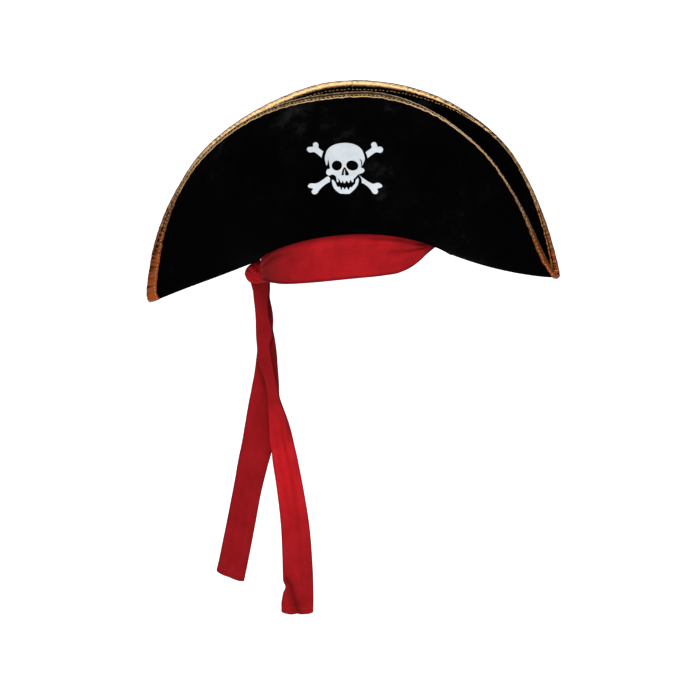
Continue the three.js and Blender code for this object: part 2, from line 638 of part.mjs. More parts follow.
const velour = new THREE.MeshStandardMaterial({ color: '#0b0b0c', roughness: 0.95 });
const lame = new THREE.MeshStandardMaterial({ color: '#c8913c', roughness: 0.35, metalness: 1 });
const cotton = new THREE.MeshStandardMaterial({ color: '#a3161c', roughness: 0.85 });
const ink = new THREE.MeshStandardMaterial({ color: '#dfe4ea', roughness: 0.6 });

const hat = new THREE.Group();

function add(name, geometry, material) {
  const mesh = new THREE.Mesh(geometry, material);
  mesh.name = name;
  hat.add(mesh);
}

add('crown', crownGeometry(), velour);
add('brim', brimGeometry(), velour);
add('edge_binding', bindingGeometry(), lame);
add('sash', sashGeometry(), cotton);
add('sash_knot', knotGeometry(), cotton);
add('short_tail', tailGeometry(SHORT_TAIL, SHORT_TAIL_DROP), cotton);
add('long_tail', tailGeometry(LONG_TAIL, LONG_TAIL_DROP), cotton);
add('skull_print', printGeometry(skullShape()), ink);
add('jaw_print', printGeometry(jawShape()), ink);
BONES.forEach((bone) => add(`${bone.name}_bone_print`, printGeometry(boneShape(bone)), ink));

export default hat;
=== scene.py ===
"""A pirate's cocked hat in black velour with gold lame binding, a red sash and a printed skull.

Sizes are millimetres until a mesh is made, and metres from there on. +Z is up, -Y is the front
and +X is to the right of someone facing the hat. A turn is in degrees round the head opening,
from the right tip over the front to the left tip and back behind.
"""

import bmesh
import bpy
import numpy as np
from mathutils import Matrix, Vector


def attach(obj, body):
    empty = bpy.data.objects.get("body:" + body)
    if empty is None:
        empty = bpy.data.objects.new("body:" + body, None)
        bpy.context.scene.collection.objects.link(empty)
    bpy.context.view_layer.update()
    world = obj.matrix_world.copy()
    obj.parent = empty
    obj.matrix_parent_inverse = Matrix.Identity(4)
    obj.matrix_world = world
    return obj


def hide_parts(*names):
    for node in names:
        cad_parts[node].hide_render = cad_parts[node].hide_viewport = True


MM = 0.001

HEAD_HALF_WIDTH = 82
HEAD_HALF_DEPTH = 95

SEAM_HEIGHT = -1.8
SEAM_ARCH_HEIGHT = 33.5
SEAM_TILT_HEIGHT = 4.3
SEAM_TWIST_HEIGHT = 4.6

CROWN_WALL = 1.6
BRIM_WALL = 2.4
SASH_WALL = 1.2
RING_CLEARANCE = 0.6
CROWN_TOP = 94
CROWN_ROUNDNESS = 2.2
CROWN_DENT = 1.1
CROWN_PUCKER = 0.35
CROWN_PUCKERS = 58
CROWN_ROWS = 40
CROWN_COLUMNS = 240
SEAM_PRESS = 1.1
SEAM_REACH = 0.05

HALF_SPAN = 186
CREST_HEIGHT = 150
CREST_HALF_DEPTH = 37
TIP_HALF_GAP = 4.95
BRIM_SWELL = 16
BACK_SWELL = 10
KEEL_SAG = 4
BRIM_DENT = 0.75
BRIM_GATHER = 0.12
BRIM_GATHERS = 62
BRIM_ROWS = 46
BRIM_COLUMNS = 620

TAPE_WIDTH = 14
TAPE_HALF_WALL = 0.22
TAPE_LIFT = 0.22
TAPE_ROWS = 1500
TAPE_SECTION = 31
TAPE_BEND_SHARE = 0.14
TAPE_PUFF = 0.30
TAPE_EXTRA_PUFF = 0.75
TAPE_PRESS = 0.40
TAPE_OVERLAP = 0.45
TAPE_OVERLAP_START = 268
TAPE_OVERLAP_END = 273
STITCH_INSET = 1.9
STITCH_PITCH = 3.6
STITCH_LENGTH = 2.3
STITCH_RADIUS = 0.24

SASH_DROP = 39.6
SASH_TUCK = 11
SASH_ROWS = 46
SASH_COLUMNS = 520

KNOT_HALF_LENGTH = 12.5
KNOT_HALF_DEPTH = 10.5
KNOT_HALF_HEIGHT = 9
KNOT_SETBACK = 5
KNOT_DROP = 12.9
KNOT_SQUARENESS = 2.6
KNOT_ROWS = 72
KNOT_COLUMNS = 140
SASH_END_TURN = 4.6

TAIL_WIDTH = 27
LONG_TAIL_DROP = 304
SHORT_TAIL_DROP = 272
TAIL_GAP = 4.4
TAIL_WAVES = 1.5
TAIL_END_GROWTH = 2.3
TAIL_ROWS = 320
TAIL_SECTION = 61
FOLD_RADIUS = 0.85
CLOTH_HALF_WALL = 0.42
HEM_HALF_WALL = 0.2
HEM_WIDTH = 7
SIDE_HEM_WIDTH = 2.7
HEM_STITCH_INSET = 6.0
HEM_STITCH_LENGTH = 1.5
HEM_STITCH_RADIUS = 0.2

PRINT_WIDTH = 62.5
PRINT_HEIGHT_ON_BRIM = 86.8
PRINT_SIDE_SHIFT = 1.7
PRINT_TALLNESS = 0.955
PRINT_LIFT = 0.12
PRINT_WALL = 0.3
PRINT_SINK = 0.3
PRINT_GRID = 1.5
PRINT_GRID_LINES = 24
NEWTON_STEPS = 14

CAMERA_AZIMUTH = 7
CAMERA_ELEVATION = 10
CAMERA_DISTANCE = 2.4
CAMERA_AIM = (-0.00405, 0, -0.0868)
METRES_PER_PIXEL = 0.0009
PICTURE_WIDTH = 700
SENSOR_WIDTH = 36
FLOOR_HEIGHT = -0.62
FLOOR_REACH = 30
KEY_PLACE = (0.2, -2.4, 2.3)
KEY_SIZE = 1.0
KEY_WATTS = 68
ROOM_GLOW = 0.04

CROWN_INSIDE = SASH_WALL + RING_CLEARANCE
CROWN_OUTSIDE = CROWN_INSIDE + CROWN_WALL
BRIM_MIDDLE = CROWN_OUTSIDE + RING_CLEARANCE + BRIM_WALL / 2

# The brim's edge once round. Reach, depth and rise are shares of the half span, of the crest's
# depth and of the crest's height. Fold turns the edge at a tip. Lap is the binding's outer share.
EDGE = {
    "columns": ("turn", "reach", "fold", "depth", "rise", "lap"),
    "rows": [
        (0, 0.981, 0, 0, -0.112, 0.36),
        (4, 0.976, -0.8, 0, -0.1, 0.35),
        (8, 0.955, -1, -0.02, -0.069, 0.34),
        (14, 0.914, -1, -0.09, 0.016, 0.34),
        (23, 0.822, -1, -0.3, 0.265, 0.22),
        (32, 0.742, -1, -0.45, 0.44, 0.17),
        (42, 0.647, -1, -0.61, 0.607, 0.17),
        (53, 0.535, -1, -0.76, 0.742, 0.19),
        (65, 0.392, -1, -0.88, 0.868, 0.26),
        (78, 0.208, -1, -0.97, 0.961, 0.4),
        (92, 0.016, -1, -1, 0.982, 0.46),
        (106, -0.268, -1, -0.95, 0.928, 0.42),
        (120, -0.498, -1, -0.78, 0.806, 0.33),
        (135, -0.706, -1, -0.5, 0.6, 0.26),
        (148, -0.841, -1, -0.27, 0.374, 0.25),
        (159, -0.932, -1, -0.12, 0.132, 0.36),
        (167, -0.985, -1, -0.05, -0.06, 0.6),
        (174, -1.008, -1, -0.01, -0.215, 0.66),
        (177, -1.009, -0.75, 0, -0.282, 0.68),
        (180, -1.003, 0, 0, -0.307, 0.68),
        (183, -1.009, 0.75, 0, -0.282, 0.64),
        (186, -1.012, 1, 0.01, -0.215, 0.56),
        (193, -0.997, 1, 0.06, -0.04, 0.5),
        (201, -0.952, 1, 0.12, 0.155, 0.48),
        (210, -0.883, 1, 0.25, 0.345, 0.46),
        (221, -0.768, 1, 0.44, 0.568, 0.44),
        (234, -0.602, 1, 0.68, 0.752, 0.42),
        (248, -0.386, 1, 0.88, 0.904, 0.4),
        (262, -0.15, 1, 1, 0.999, 0.4),
        (277, 0.129, 1, 1.01, 1.002, 0.42),
        (291, 0.371, 1, 0.9, 0.928, 0.55),
        (304, 0.569, 1, 0.72, 0.797, 0.74),
        (316, 0.724, 1, 0.5, 0.63, 0.84),
        (327, 0.832, 1, 0.32, 0.423, 0.8),
        (337, 0.909, 1, 0.16, 0.208, 0.7),
        (345, 0.955, 1, 0.07, 0.03, 0.62),
        (352, 0.976, 1, 0.01, -0.069, 0.52),
        (356, 0.981, 0.8, 0, -0.1, 0.42),
    ],
}

# The sash's lower edge below the seam and its upper edge above it, as shares of drop and tuck.
SASH = {
    "columns": ("turn", "drop", "tuck"),
    "rows": [
        (0, -0.26, 2.2), (12, -0.19, 1.9), (25, 0.01, 1.5), (34, 0.25, 1.2), (45, 0.59, 1),
        (55, 0.80, 1), (64, 0.90, 1), (76, 0.97, 1), (90, 1, 1), (107, 0.97, 1), (127, 0.84, 1),
        (145, 0.64, 0.8), (160, 0.485, 0.5), (174, 0.43, 0.1), (186, 0.43, 0.1), (200, 0.46, 0.5),
        (225, 0.50, 1), (270, 0.52, 1), (305, 0.36, 1), (335, 0, 1.5), (348, -0.19, 1.9),
    ],
}

# The sash's creases. Each runs from one turn to another, at a height that goes from low (0, the
# lower edge) to high (1, the seam), and pushes the cloth out by its depth over its half width.
CREASES = {
    "columns": ("start", "end", "at_start", "at_end", "half_width", "depth"),
    "rows": [
        (22, 76, 0.90, 0.84, 0.055, -2.4),
        (20, 84, 1.00, 0.72, 0.060, 1.9),
        (24, 72, 0.76, 0.62, 0.050, 1.4),
        (26, 66, 0.62, 0.50, 0.055, -1.4),
        (30, 92, 0.40, 0.30, 0.090, 0.8),
        (66, 128, 0.50, 0.62, 0.110, -0.5),
        (136, 175, 1.00, 0.66, 0.080, 0.9),
        (140, 176, 0.88, 0.52, 0.060, -0.9),
        (130, 176, 0.70, 0.40, 0.090, 1.1),
        (150, 177, 0.55, 0.28, 0.060, -0.8),
        (146, 178, 0.36, 0.14, 0.090, 0.6),
        (112, 150, 0.74, 0.82, 0.080, -0.7),
        (188, 236, 0.70, 0.40, 0.100, 1.3),
        (187, 250, 0.30, 0.60, 0.090, -1.3),
        (190, 224, 0.95, 0.75, 0.080, -1.2),
        (240, 330, 0.45, 0.95, 0.120, 1.0),
        (262, 340, 0.20, 0.60, 0.100, -1.0),
    ],
}

# The tails from the knot down. Left, right and edge are millimetres from the knot's middle: the
# cloth's two sides and the fold in front at its right. Tuck is the width turned under at the left
# by under half turns. Pleat is the half turns that the cloth takes back and forth behind the edge,
# gather its swing across the width in radians, and behind a share of the tails' gap.
TAIL_COLUMNS = ("down", "left", "right", "edge", "tuck", "under", "pleat", "gather", "behind")
SHORT_TAIL = {
    "columns": TAIL_COLUMNS,
    "rows": [
        (0.01, -4.9, 8.8, 6.4, 2, 1, 1, 0, 0.62), (0.057, -3.7, 8.1, 5.6, 2, 1, 1, 0, 0.65),
        (0.13, -2.2, 10.5, 7.7, 2, 1, 1, 0, 0.8), (0.191, -2.3, 11, 8.6, 2, 1, 1, 0, 1),
        (0.225, -2.2, 12.5, 9.4, 2, 1, 1, 0, 1.1), (0.272, -3.4, 14, 10.2, 1.5, 0.95, 0.9, 0, 1.2),
        (0.313, -4.8, 14.9, 10.1, 1.2, 0.75, 0.75, 0.05, 1.25),
        (0.357, -7.2, 15.5, 9.1, 0.8, 0.5, 0.5, 0.15, 1.3),
        (0.391, -9.3, 15.2, 9, 0.6, 0.25, 0.3, 0.2, 1.35),
        (0.449, -12.3, 14.2, 7.1, 0.5, 0.1, 0.12, 0.22, 1.38),
        (0.537, -16.5, 11.5, 1.4, 0.4, 0, 0, 0.15, 1.4),
        (0.575, -18.7, 9.8, -0.5, 0.4, 0, 0, 0.12, 1.4),
        (0.609, -20.8, 7.2, -2.4, 0.4, 0, 0, 0.15, 1.4),
        (0.709, -25.7, 0.2, -8.1, 0.4, 0, 0, 0.4, 1.38),
        (0.829, -32.2, -6, -13.9, 0.4, 0, 0, 0.4, 1.3),
        (0.95, -39, -12.3, -19.6, 0.4, 0, 0, 0.32, 1.15),
        (1.02, -42.7, -16, -23.3, 0.4, 0, 0, 0.3, 1),
    ],
}
LONG_TAIL = {
    "columns": TAIL_COLUMNS,
    "rows": [
        (0, -6.4, 10.2, 9.2, 2, 1, 1, 0, -0.62), (0.012, -5.6, 10.2, 9.2, 2, 1, 1, 0, -0.62),
        (0.026, -4.5, 10.2, 9.1, 2, 1, 1, 0, -0.63), (0.048, -3.9, 9.9, 8.6, 2, 1, 1, 0, -0.65),
        (0.083, -2.7, 12, 8.6, 1.5, 1, 1, 0, -0.7), (0.113, -2, 13.1, 9.9, 1.4, 1, 1, 0, -0.8),
        (0.142, -1.9, 12.7, 11.9, 1.8, 1, 0.85, 0, -0.9),
        (0.166, -1.6, 13.5, 11.3, 3.5, 1, 0.5, 0.1, -1),
        (0.19, -0.9, 15.3, 9.8, 3.5, 1, 0.65, 0.05, -1.15),
        (0.219, -0.5, 16.6, 11.1, 2.5, 1, 0.95, 0, -1.25),
        (0.249, 1.5, 17.4, 13, 3, 1, 1, 0, -1.35), (0.284, 5.7, 18.2, 15.1, 4.5, 1, 1, 0, -1.4),
        (0.311, 7.5, 18.5, 16.7, 5.5, 1, 1, 0, -1.4), (0.341, 8.7, 18.9, 18.4, 6, 1, 1, 0, -1.4),
        (0.368, 9.1, 21.1, 20.6, 5, 1, 0.85, 0.1, -1.4),
        (0.398, 9.6, 23.9, 22.7, 4, 0.9, 0.6, 0.3, -1.4),
        (0.434, 10, 27.6, 24.9, 2.8, 0.65, 0.3, 0.55, -1.4),
        (0.471, 10.5, 31, 27.6, 1.6, 0.35, 0.1, 0.68, -1.38),
        (0.504, 11.8, 33.5, 29.8, 0.8, 0.1, 0, 0.72, -1.36),
        (0.534, 12.8, 35.5, 31.6, 0.5, 0, 0, 0.72, -1.35),
        (0.622, 16.7, 40.6, 36.1, 0.5, 0, 0, 0.62, -1.3),
        (0.729, 20.2, 45.8, 40.5, 0.5, 0, 0, 0.45, -1.2),
        (0.836, 21.5, 48.4, 43.1, 0.5, 0, 0, 0.3, -1.08),
        (0.913, 21.7, 49.4, 43.9, 0.5, 0, 0, 0.2, -1),
        (1, 21.5, 49.5, 43.7, 0.5, 0, 0, 0.16, -0.9),
    ],
}

# The print's outlines, x and y in hundredths of its width. The skull's go round from its right
# cheek over the dome and down to its teeth.
RIGHT_CHEEK = [
    (13.9, -16.1), (14, -14.8), (15.2, -13.4), (17.8, -10.7), (19.1, -9), (20.6, -7.8),
    (22.6, -7.2), (25, -6.5), (27.3, -4.9), (28.1, -2.2), (26.2, 0.2), (23.6, 0.8),
]
RIGHT_TEMPLE = [
    (23, 4.3), (23, 7.3), (22.1, 10.2), (20.4, 13), (23, 11.5), (24.2, 9.3), (24.7, 6.4),
]
DOME = [
    (23.3, 2.4), (24.9, 4.6), (26.3, 7.6), (27.7, 12.3), (26.1, 18.5), (22.7, 25.2), (17, 30),
    (9.3, 33.1), (1.1, 34.2), (-7.2, 33.7), (-15.5, 31.7), (-21.7, 28.3), (-25.8, 23.6),
    (-27.3, 18.5), (-28, 13.3), (-27.1, 8.8), (-25.9, 5.2), (-24.6, 2.8),
]
LEFT_TEMPLE = [
    (-23.6, 5.5), (-23.6, 8.6), (-23.2, 11.3), (-21.9, 8.2), (-21.1, 5.1), (-20.4, 2.5),
]
LEFT_CHEEK = [
    (-19.9, 0.6), (-20, -1.1), (-23, -2.2), (-24.7, -5.3), (-23.9, -8.3), (-21.5, -10.2),
    (-19.6, -10.4), (-17.8, -9.5), (-15.6, -8.9), (-12.8, -9.7), (-10.2, -12.2),
]
UPPER_TEETH = [
    (-9.9, -13.9), (-9.6, -16.3), (-8.8, -18.5), (-7.6, -19.3), (-6.8, -18.4), (-6.7, -17.1),
    (-7.2, -15.7), (-8.2, -14.6), (-6.9, -14.6), (-5.6, -15.8), (-4.6, -17.5), (-3.7, -19.2),
    (-2.7, -20), (-1.9, -19.6), (-1.4, -18), (-1, -17.2), (-0.3, -17.9), (0.6, -19.7),
    (1.6, -20.4), (2.5, -19.7), (3.3, -18.3), (4.6, -17), (5.7, -17.7), (6.7, -19.5),
    (7.6, -19.9), (8.5, -18.7), (9.1, -16.7), (9.9, -15.6), (10.7, -16.6), (11.6, -18.2),
    (12.9, -19.1), (13.9, -18),
]
EYES = [(-10.3, 3.4, 7.2, 6.8, 0), (11.1, 3.9, 8.5, 6.7, -14)]
NOSE = [
    (-3, -9.1), (-2.8, -6.9), (-2.5, -4.2), (-1.6, -1.2), (0.2, 1.3), (2, 0.6), (3.9, -2.2),
    (5.8, -4.8), (7, -7.1), (6.7, -9.3), (4.5, -9.8), (2.2, -9.6), (1.8, -6.8), (1.3, -3.9),
    (0.7, -1.9), (0.5, -1.9), (0.2, -4.3), (0.1, -9), (-1.6, -9.8),
]
JAW = [
    (-15.7, -16.3), (-16, -17.3), (-15.8, -19.9), (-14.9, -23.2), (-13.7, -25.9), (-11.6, -28.8),
    (-9.1, -31.2), (-6.6, -33.2), (-3.9, -34.7), (-1.2, -35.1), (2.3, -35.2), (5.7, -35.2),
    (9.4, -34.7), (12, -32.6), (14.6, -30.2), (17.2, -27.1), (19.4, -24), (20.3, -21.3),
    (21.1, -17.9), (21, -15.2), (20.2, -13.4), (19.5, -13.1), (18.6, -14), (17.3, -15.7),
    (16.7, -17.7), (16.5, -20.1), (15.8, -21.6), (14.2, -23), (13.2, -24.7), (12, -26.1),
    (10.6, -25.6), (9.5, -26.2), (8.7, -27.7), (7.7, -29.8), (6.4, -28.3), (5.5, -26.6),
    (4.6, -26.1), (3.9, -26.6), (2.4, -29.1), (1, -27.7), (0.2, -26.5), (-0.6, -26),
    (-1.3, -27.3), (-2.1, -30), (-3.4, -28), (-4.1, -26.3), (-4.9, -25.5), (-6.4, -25.8),
    (-7.8, -25.5), (-9.3, -23.8), (-10, -21.9), (-11, -20), (-12.7, -17.6), (-14.3, -16.3),
]
BONES = {
    "upper_left_bone": [
        (-30.9, 22), (-31.3, 20.7), (-32.9, 13.7), (-33, 13.8), (-37.8, 17.4), (-43, 20.5),
        (-46.1, 20.6), (-49.9, 20), (-53, 21.8), (-54.3, 24.2), (-53.1, 26.9), (-50, 27.8),
        (-46.9, 27.7), (-45.9, 29.4), (-46.4, 31.4), (-45.4, 33), (-42.9, 34.2), (-40.2, 33.2),
        (-38.4, 30.6), (-38.4, 27.7), (-36.4, 25.3),
    ],
    "upper_right_bone": [
        (28.3, 22.1), (29.2, 20.3), (31.7, 13.8), (31.7, 14.1), (35.6, 17.5), (40.8, 21.2),
        (44.2, 21.9), (47.4, 21), (50.4, 22.1), (51.5, 25.4), (49.9, 28.2), (46.6, 29.6),
        (44.1, 28.9), (43, 31.4), (41.2, 34.5), (38.3, 35.5), (35.7, 34.5), (34.8, 31.7),
        (36, 28.5), (32.6, 25.3),
    ],
    "lower_left_bone": [
        (-22.4, -11.8), (-19.5, -13.5), (-18.7, -15.2), (-18.8, -19), (-19.4, -19.5),
        (-24.2, -22.3), (-29.5, -26.9), (-34, -32.1), (-35.9, -35.5), (-39.1, -37),
        (-42.3, -36.2), (-44, -33.2), (-42.1, -29.6), (-44.5, -28.5), (-47.9, -28.2),
        (-49.5, -26), (-48, -23.2), (-44.4, -22), (-40.7, -22.1), (-36.7, -21.4), (-30, -17.4),
    ],
    "lower_right_bone": [
        (21.5, -9.5), (21.7, -9.6), (26.5, -13), (34.2, -18.1), (40.2, -21.1), (43.5, -20.5),
        (47, -19.8), (50.7, -21.4), (53, -24), (51.9, -26.3), (49, -27.2), (46.6, -28.3),
        (47.6, -31.6), (46.9, -34.3), (43.8, -35.5), (40.7, -33.8), (38.2, -30), (34, -25.3),
        (29.5, -21.8), (26, -20.1), (25.4, -19.6), (24.7, -14.2),
    ],
}


def smooth(places, values, at):
    """A cubic through the rows of a table: the slope at a row is that between its neighbours."""
    places = np.asarray(places, float)
    values = np.asarray(values, float)
    at = np.asarray(at, float)
    b = np.clip(np.searchsorted(places, at, side="right") - 1, 1, len(places) - 3)
    span = places[b + 1] - places[b]
    s = (at - places[b]) / span
    slope_b = (values[b + 1] - values[b - 1]) / (places[b + 1] - places[b - 1]) * span
    slope_c = (values[b + 2] - values[b]) / (places[b + 2] - places[b]) * span
    return (
        (2 * s**3 - 3 * s**2 + 1) * values[b]
        + (s**3 - 2 * s**2 + s) * slope_b
        + (3 * s**2 - 2 * s**3) * values[b + 1]
        + (s**3 - s**2) * slope_c
    )


def column(table, name):
    """One named column of a table, as an array."""
    return np.array([row[table["columns"].index(name)] for row in table["rows"]], float)


def around(table, name, turn):
    """A column of a table that closes on itself after a full turn."""
    turns = column(table, "turn")
    values = column(table, name)
    turns = np.concatenate([turns - 360, turns, turns + 360])
    return smooth(turns, np.tile(values, 3), np.mod(turn, 360))


def along(table, name, down):
    """A column of a table that runs down from 0 to 1, level beyond its ends."""
    places = column(table, "down")
    values = column(table, name)
    places = np.concatenate([[places[0] - 0.1], places, [places[-1] + 0.1]])
    values = np.concatenate([values[:1], values, values[-1:]])
    return smooth(places, values, down)


def step_between(low, high, at):
    """0 below low, 1 above high, and 3t^2 - 2t^3 in between."""
    t = np.clip((at - low) / (high - low), 0, 1)
    return t * t * (3 - 2 * t)


def ripple(points, shortest, longest, seed, waves=10):
    """The sum of seeded sine waves through space, each with its own heading, phase and length."""
    rng = np.random.default_rng(seed)
    total = np.zeros(points.shape[:-1])
    for _ in range(waves):
        heading = rng.normal(size=3)
        heading /= np.linalg.norm(heading)
        length = np.exp(rng.uniform(np.log(shortest), np.log(longest)))
        total += np.sin(2 * np.pi * (points @ heading) / length + rng.uniform(0, 2 * np.pi))
    return total / np.sqrt(waves)


def crimp(share, across, fewest, most, seed, waves=14):
    """Seeded waves round a closed strip: whole numbers of them, so that the strip's ends meet."""
    rng = np.random.default_rng(seed)
    total = np.zeros(np.broadcast(share, across).shape)
    for _ in range(waves):
        count = rng.integers(fewest, most)
        lean = rng.uniform(-1.2, 1.2)
        total += np.sin(2 * np.pi * (count * share + lean * across) + rng.uniform(0, 2 * np.pi))
    return total / np.sqrt(waves)


def unit(vectors):
    """Vectors of length 1."""
    return vectors / np.maximum(np.linalg.norm(vectors, axis=-1, keepdims=True), 1e-9)


def ring(turn, outside, height, shrink=1):
    """An ellipse a distance outside the head opening: ((a + d) cos t, -(b + d) sin t, height)."""
    turn = np.radians(turn)
    x = (HEAD_HALF_WIDTH + outside) * np.cos(turn) * shrink
    y = -(HEAD_HALF_DEPTH + outside) * np.sin(turn) * shrink
    return np.stack(np.broadcast_arrays(x, y, height), axis=-1).astype(float)


def seam_height(turn):
    """A level, a tilt with cos t, an arch with |sin t|^1.4 and a twist with |sin t| cos t."""
    c = np.cos(np.radians(turn))
    s = np.abs(np.sin(np.radians(turn)))
    return SEAM_HEIGHT + SEAM_TILT_HEIGHT * c + SEAM_ARCH_HEIGHT * s**1.4 + SEAM_TWIST_HEIGHT * s * c


def edge_point(turn):
    """The brim's edge from its table: span times reach, depth plus the fold's half gap, rise."""
    depth = around(EDGE, "depth", turn) * (CREST_HALF_DEPTH - TIP_HALF_GAP)
    return np.stack(
        [
            around(EDGE, "reach", turn) * HALF_SPAN,
            depth + around(EDGE, "fold", turn) * TIP_HALF_GAP,
            around(EDGE, "rise", turn) * CREST_HEIGHT,
        ],
        axis=-1,
    )


def brim_point(turn, up):
    """The middle of the brim's wall: (1 - u) seam + u edge, swollen outwards by 4u(1 - u), and
    with the soft dents of foam-backed cloth, which fade out at the seam and the edge. Behind, the
    depth goes by 3u^2 - 2u^3 and the swell by 6.75u(1 - u)^2, so the wall ends upright."""
    turn, up = np.broadcast_arrays(np.asarray(turn, float), np.asarray(up, float))
    c = np.cos(np.radians(turn))
    s = np.sin(np.radians(turn))
    hump = 4 * up * (1 - up)
    behind = step_between(0, 0.6, -s)
    back_hump = 6.75 * up * (1 - up) ** 2
    seam = ring(turn, BRIM_MIDDLE, seam_height(turn))
    edge = edge_point(turn)
    point = seam * (1 - up[..., None]) + edge * up[..., None]
    point[..., 1] += (edge - seam)[..., 1] * (step_between(0, 1, up) - up) * behind
    outwards = unit(np.stack([c / HEAD_HALF_WIDTH, -s / HEAD_HALF_DEPTH, 0 * c], axis=-1))
    swell = hump * BRIM_SWELL * (1 - behind) + back_hump * BACK_SWELL * behind
    dents = BRIM_DENT * ripple(point, 45, 120, seed=4) * np.clip(hump, 0, 1)
    gathers = np.sin(np.radians(turn) * BRIM_GATHERS + 2 * np.sin(np.radians(turn) * 5))
    gathers = BRIM_GATHER * gathers * np.exp(-((up / SEAM_REACH) ** 2))
    point = point + outwards * (swell * np.abs(s) + dents + gathers)[..., None]
    point[..., 2] -= hump * KEEL_SAG * np.maximum(0, c) ** 5
    return point


def wall_half(up):
    """Half the brim's wall, which the binding presses thinner towards the edge."""
    return BRIM_WALL / 2 * (1 - 0.5 * step_between(0.90, 0.97, up))


def brim_out(turn, up):
    """The brim's outward direction: the cross product of its two slopes."""
    turn, up = np.broadcast_arrays(np.asarray(turn, float), np.asarray(up, float))
    round_ = brim_point(turn + 0.2, up) - brim_point(turn - 0.2, up)
    rise = brim_point(turn, np.minimum(1, up + 0.01)) - brim_point(turn, np.maximum(0, up - 0.01))
    return -unit(np.cross(round_, rise))


def brim_surface(turn, up, outside):
    """The brim's surface at a distance outside the middle of its wall."""
    lift = np.asarray(outside, float)
    return brim_point(turn, up) + brim_out(turn, up) * lift[..., None]


def crown_share(turn, height, top):
    """How far a superellipse has come in at a height: (1 - u^n)^(1/n)."""
    seam = seam_height(turn)
    up = np.clip((height - seam) / (top - seam), 0, 1)
    return (1 - up**CROWN_ROUNDNESS) ** (1 / CROWN_ROUNDNESS)


def put_mesh(name, vertices, faces, uv=None, dull_and_shade=None):
    """A smooth mesh object from millimetre points and lists of corners, turned to face out. Its
    points may carry how much of a darker red they take, partly for the cloth's duller side and partly
    as painted shade."""
    vertices = np.asarray(vertices, float).reshape(-1, 3)
    volume = 0.0
    for size in sorted({len(f) for f in faces}):
        some = vertices[np.array([f for f in faces if len(f) == size])]
        for k in range(1, size - 1):
            volume += np.einsum("ij,ij->", some[:, 0], np.cross(some[:, k], some[:, k + 1]))
    if volume < 0:
        faces = [f[::-1] for f in faces]
    mesh = bpy.data.meshes.new(name)
    mesh.from_pydata((vertices * MM).tolist(), [], faces)
    if uv is not None:
        corners = np.empty(len(mesh.loops), np.int32)
        mesh.loops.foreach_get("vertex_index", corners)
        layer = mesh.uv_layers.new(name="cloth")
        layer.data.foreach_set("uv", (np.asarray(uv, float).reshape(-1, 2)[corners] * MM).ravel())
    if dull_and_shade is not None:
        layer = mesh.attributes.new("dull_and_shade", "FLOAT", "POINT")
        layer.data.foreach_set("value", np.asarray(dull_and_shade, np.float32).ravel())
    mesh.polygons.foreach_set("use_smooth", np.ones(len(mesh.polygons), bool))
    mesh.update()
    piece = bpy.data.objects.new(name, mesh)
    bpy.context.scene.collection.objects.link(piece)
    return piece


def grid_faces(rows, columns, close_rows, close_columns):
    """The quads of a grid whose points are numbered row by row."""
    i = np.arange(rows if close_rows else rows - 1)[:, None]
    j = np.arange(columns if close_columns else columns - 1)[None, :]
    next_i = (i + 1) % rows
    next_j = (j + 1) % columns
    corners = [i * columns + j, next_i * columns + j, next_i * columns + next_j, i * columns + next_j]
    corners = np.broadcast_arrays(*corners)
    return np.stack(corners, axis=-1).reshape(-1, 4).tolist()


def lengths_of(points, axis):
    """The distance run along one way of a grid."""
    step = np.linalg.norm(np.diff(points, axis=axis), axis=-1)
    start = np.zeros_like(np.take(step, [0], axis=axis))
    return np.concatenate([start, np.cumsum(step, axis=axis)], axis=axis)


def cloth_mesh(name, middle, half_wall, dull_and_shade, rim_steps=3):
    """A strip of cloth: each row's section runs along one face, round a half-circle rim, back
    along the other face and round the other rim. Flat quads close its two ends."""
    rows, across = middle.shape[:2]
    run = np.gradient(middle, axis=0)
    side = np.gradient(middle, axis=1)
    out = unit(np.cross(run, side))
    side = unit(side)
    half = np.broadcast_to(half_wall, (rows, across))[..., None]
    angles = np.linspace(0, np.pi, rim_steps + 2)[1:-1][None, :, None]

    def rim(column_index, sign):
        centre = middle[:, column_index, None]
        radius = half[:, column_index, None]
        lift = np.cos(angles) * out[:, column_index, None] * radius
        return centre + sign * (lift + np.sin(angles) * side[:, column_index, None] * radius)

    section = np.concatenate(
        [middle + out * half, rim(-1, 1), (middle - out * half)[:, ::-1], rim(0, -1)], axis=1
    )
    along_cloth = lengths_of(middle, 0)
    over_cloth = lengths_of(middle, 1)
    flat = np.stack([over_cloth, along_cloth], axis=-1)
    last = np.repeat(flat[:, -1:], rim_steps, axis=1)
    first = np.repeat(flat[:, :1], rim_steps, axis=1)
    uv = np.concatenate([flat, last, flat[:, ::-1], first], axis=1)
    dull_and_shade = np.broadcast_to(dull_and_shade, (rows, across))
    rims = [np.repeat(dull_and_shade[:, k : k + 1], rim_steps, axis=1) for k in (across - 1, 0)]
    dull_and_shade = np.concatenate([dull_and_shade, rims[0], dull_and_shade[:, ::-1], rims[1]], axis=1)
    columns = section.shape[1]
    faces = grid_faces(rows, columns, False, True)
    for base, flip in ((0, 1), ((rows - 1) * columns, -1)):
        back = 2 * across + rim_steps - 1
        for j in range(across - 1):
            faces.append([base + j, base + j + 1, base + back - j - 1, base + back - j][::flip])
        right = list(range(base + across - 1, base + across + rim_steps + 1))
        left = list(range(base + back, base + columns)) + [base]
        faces.append(right[::flip])
        faces.append(left[::flip])
    return put_mesh(name, section, faces, uv, dull_and_shade)


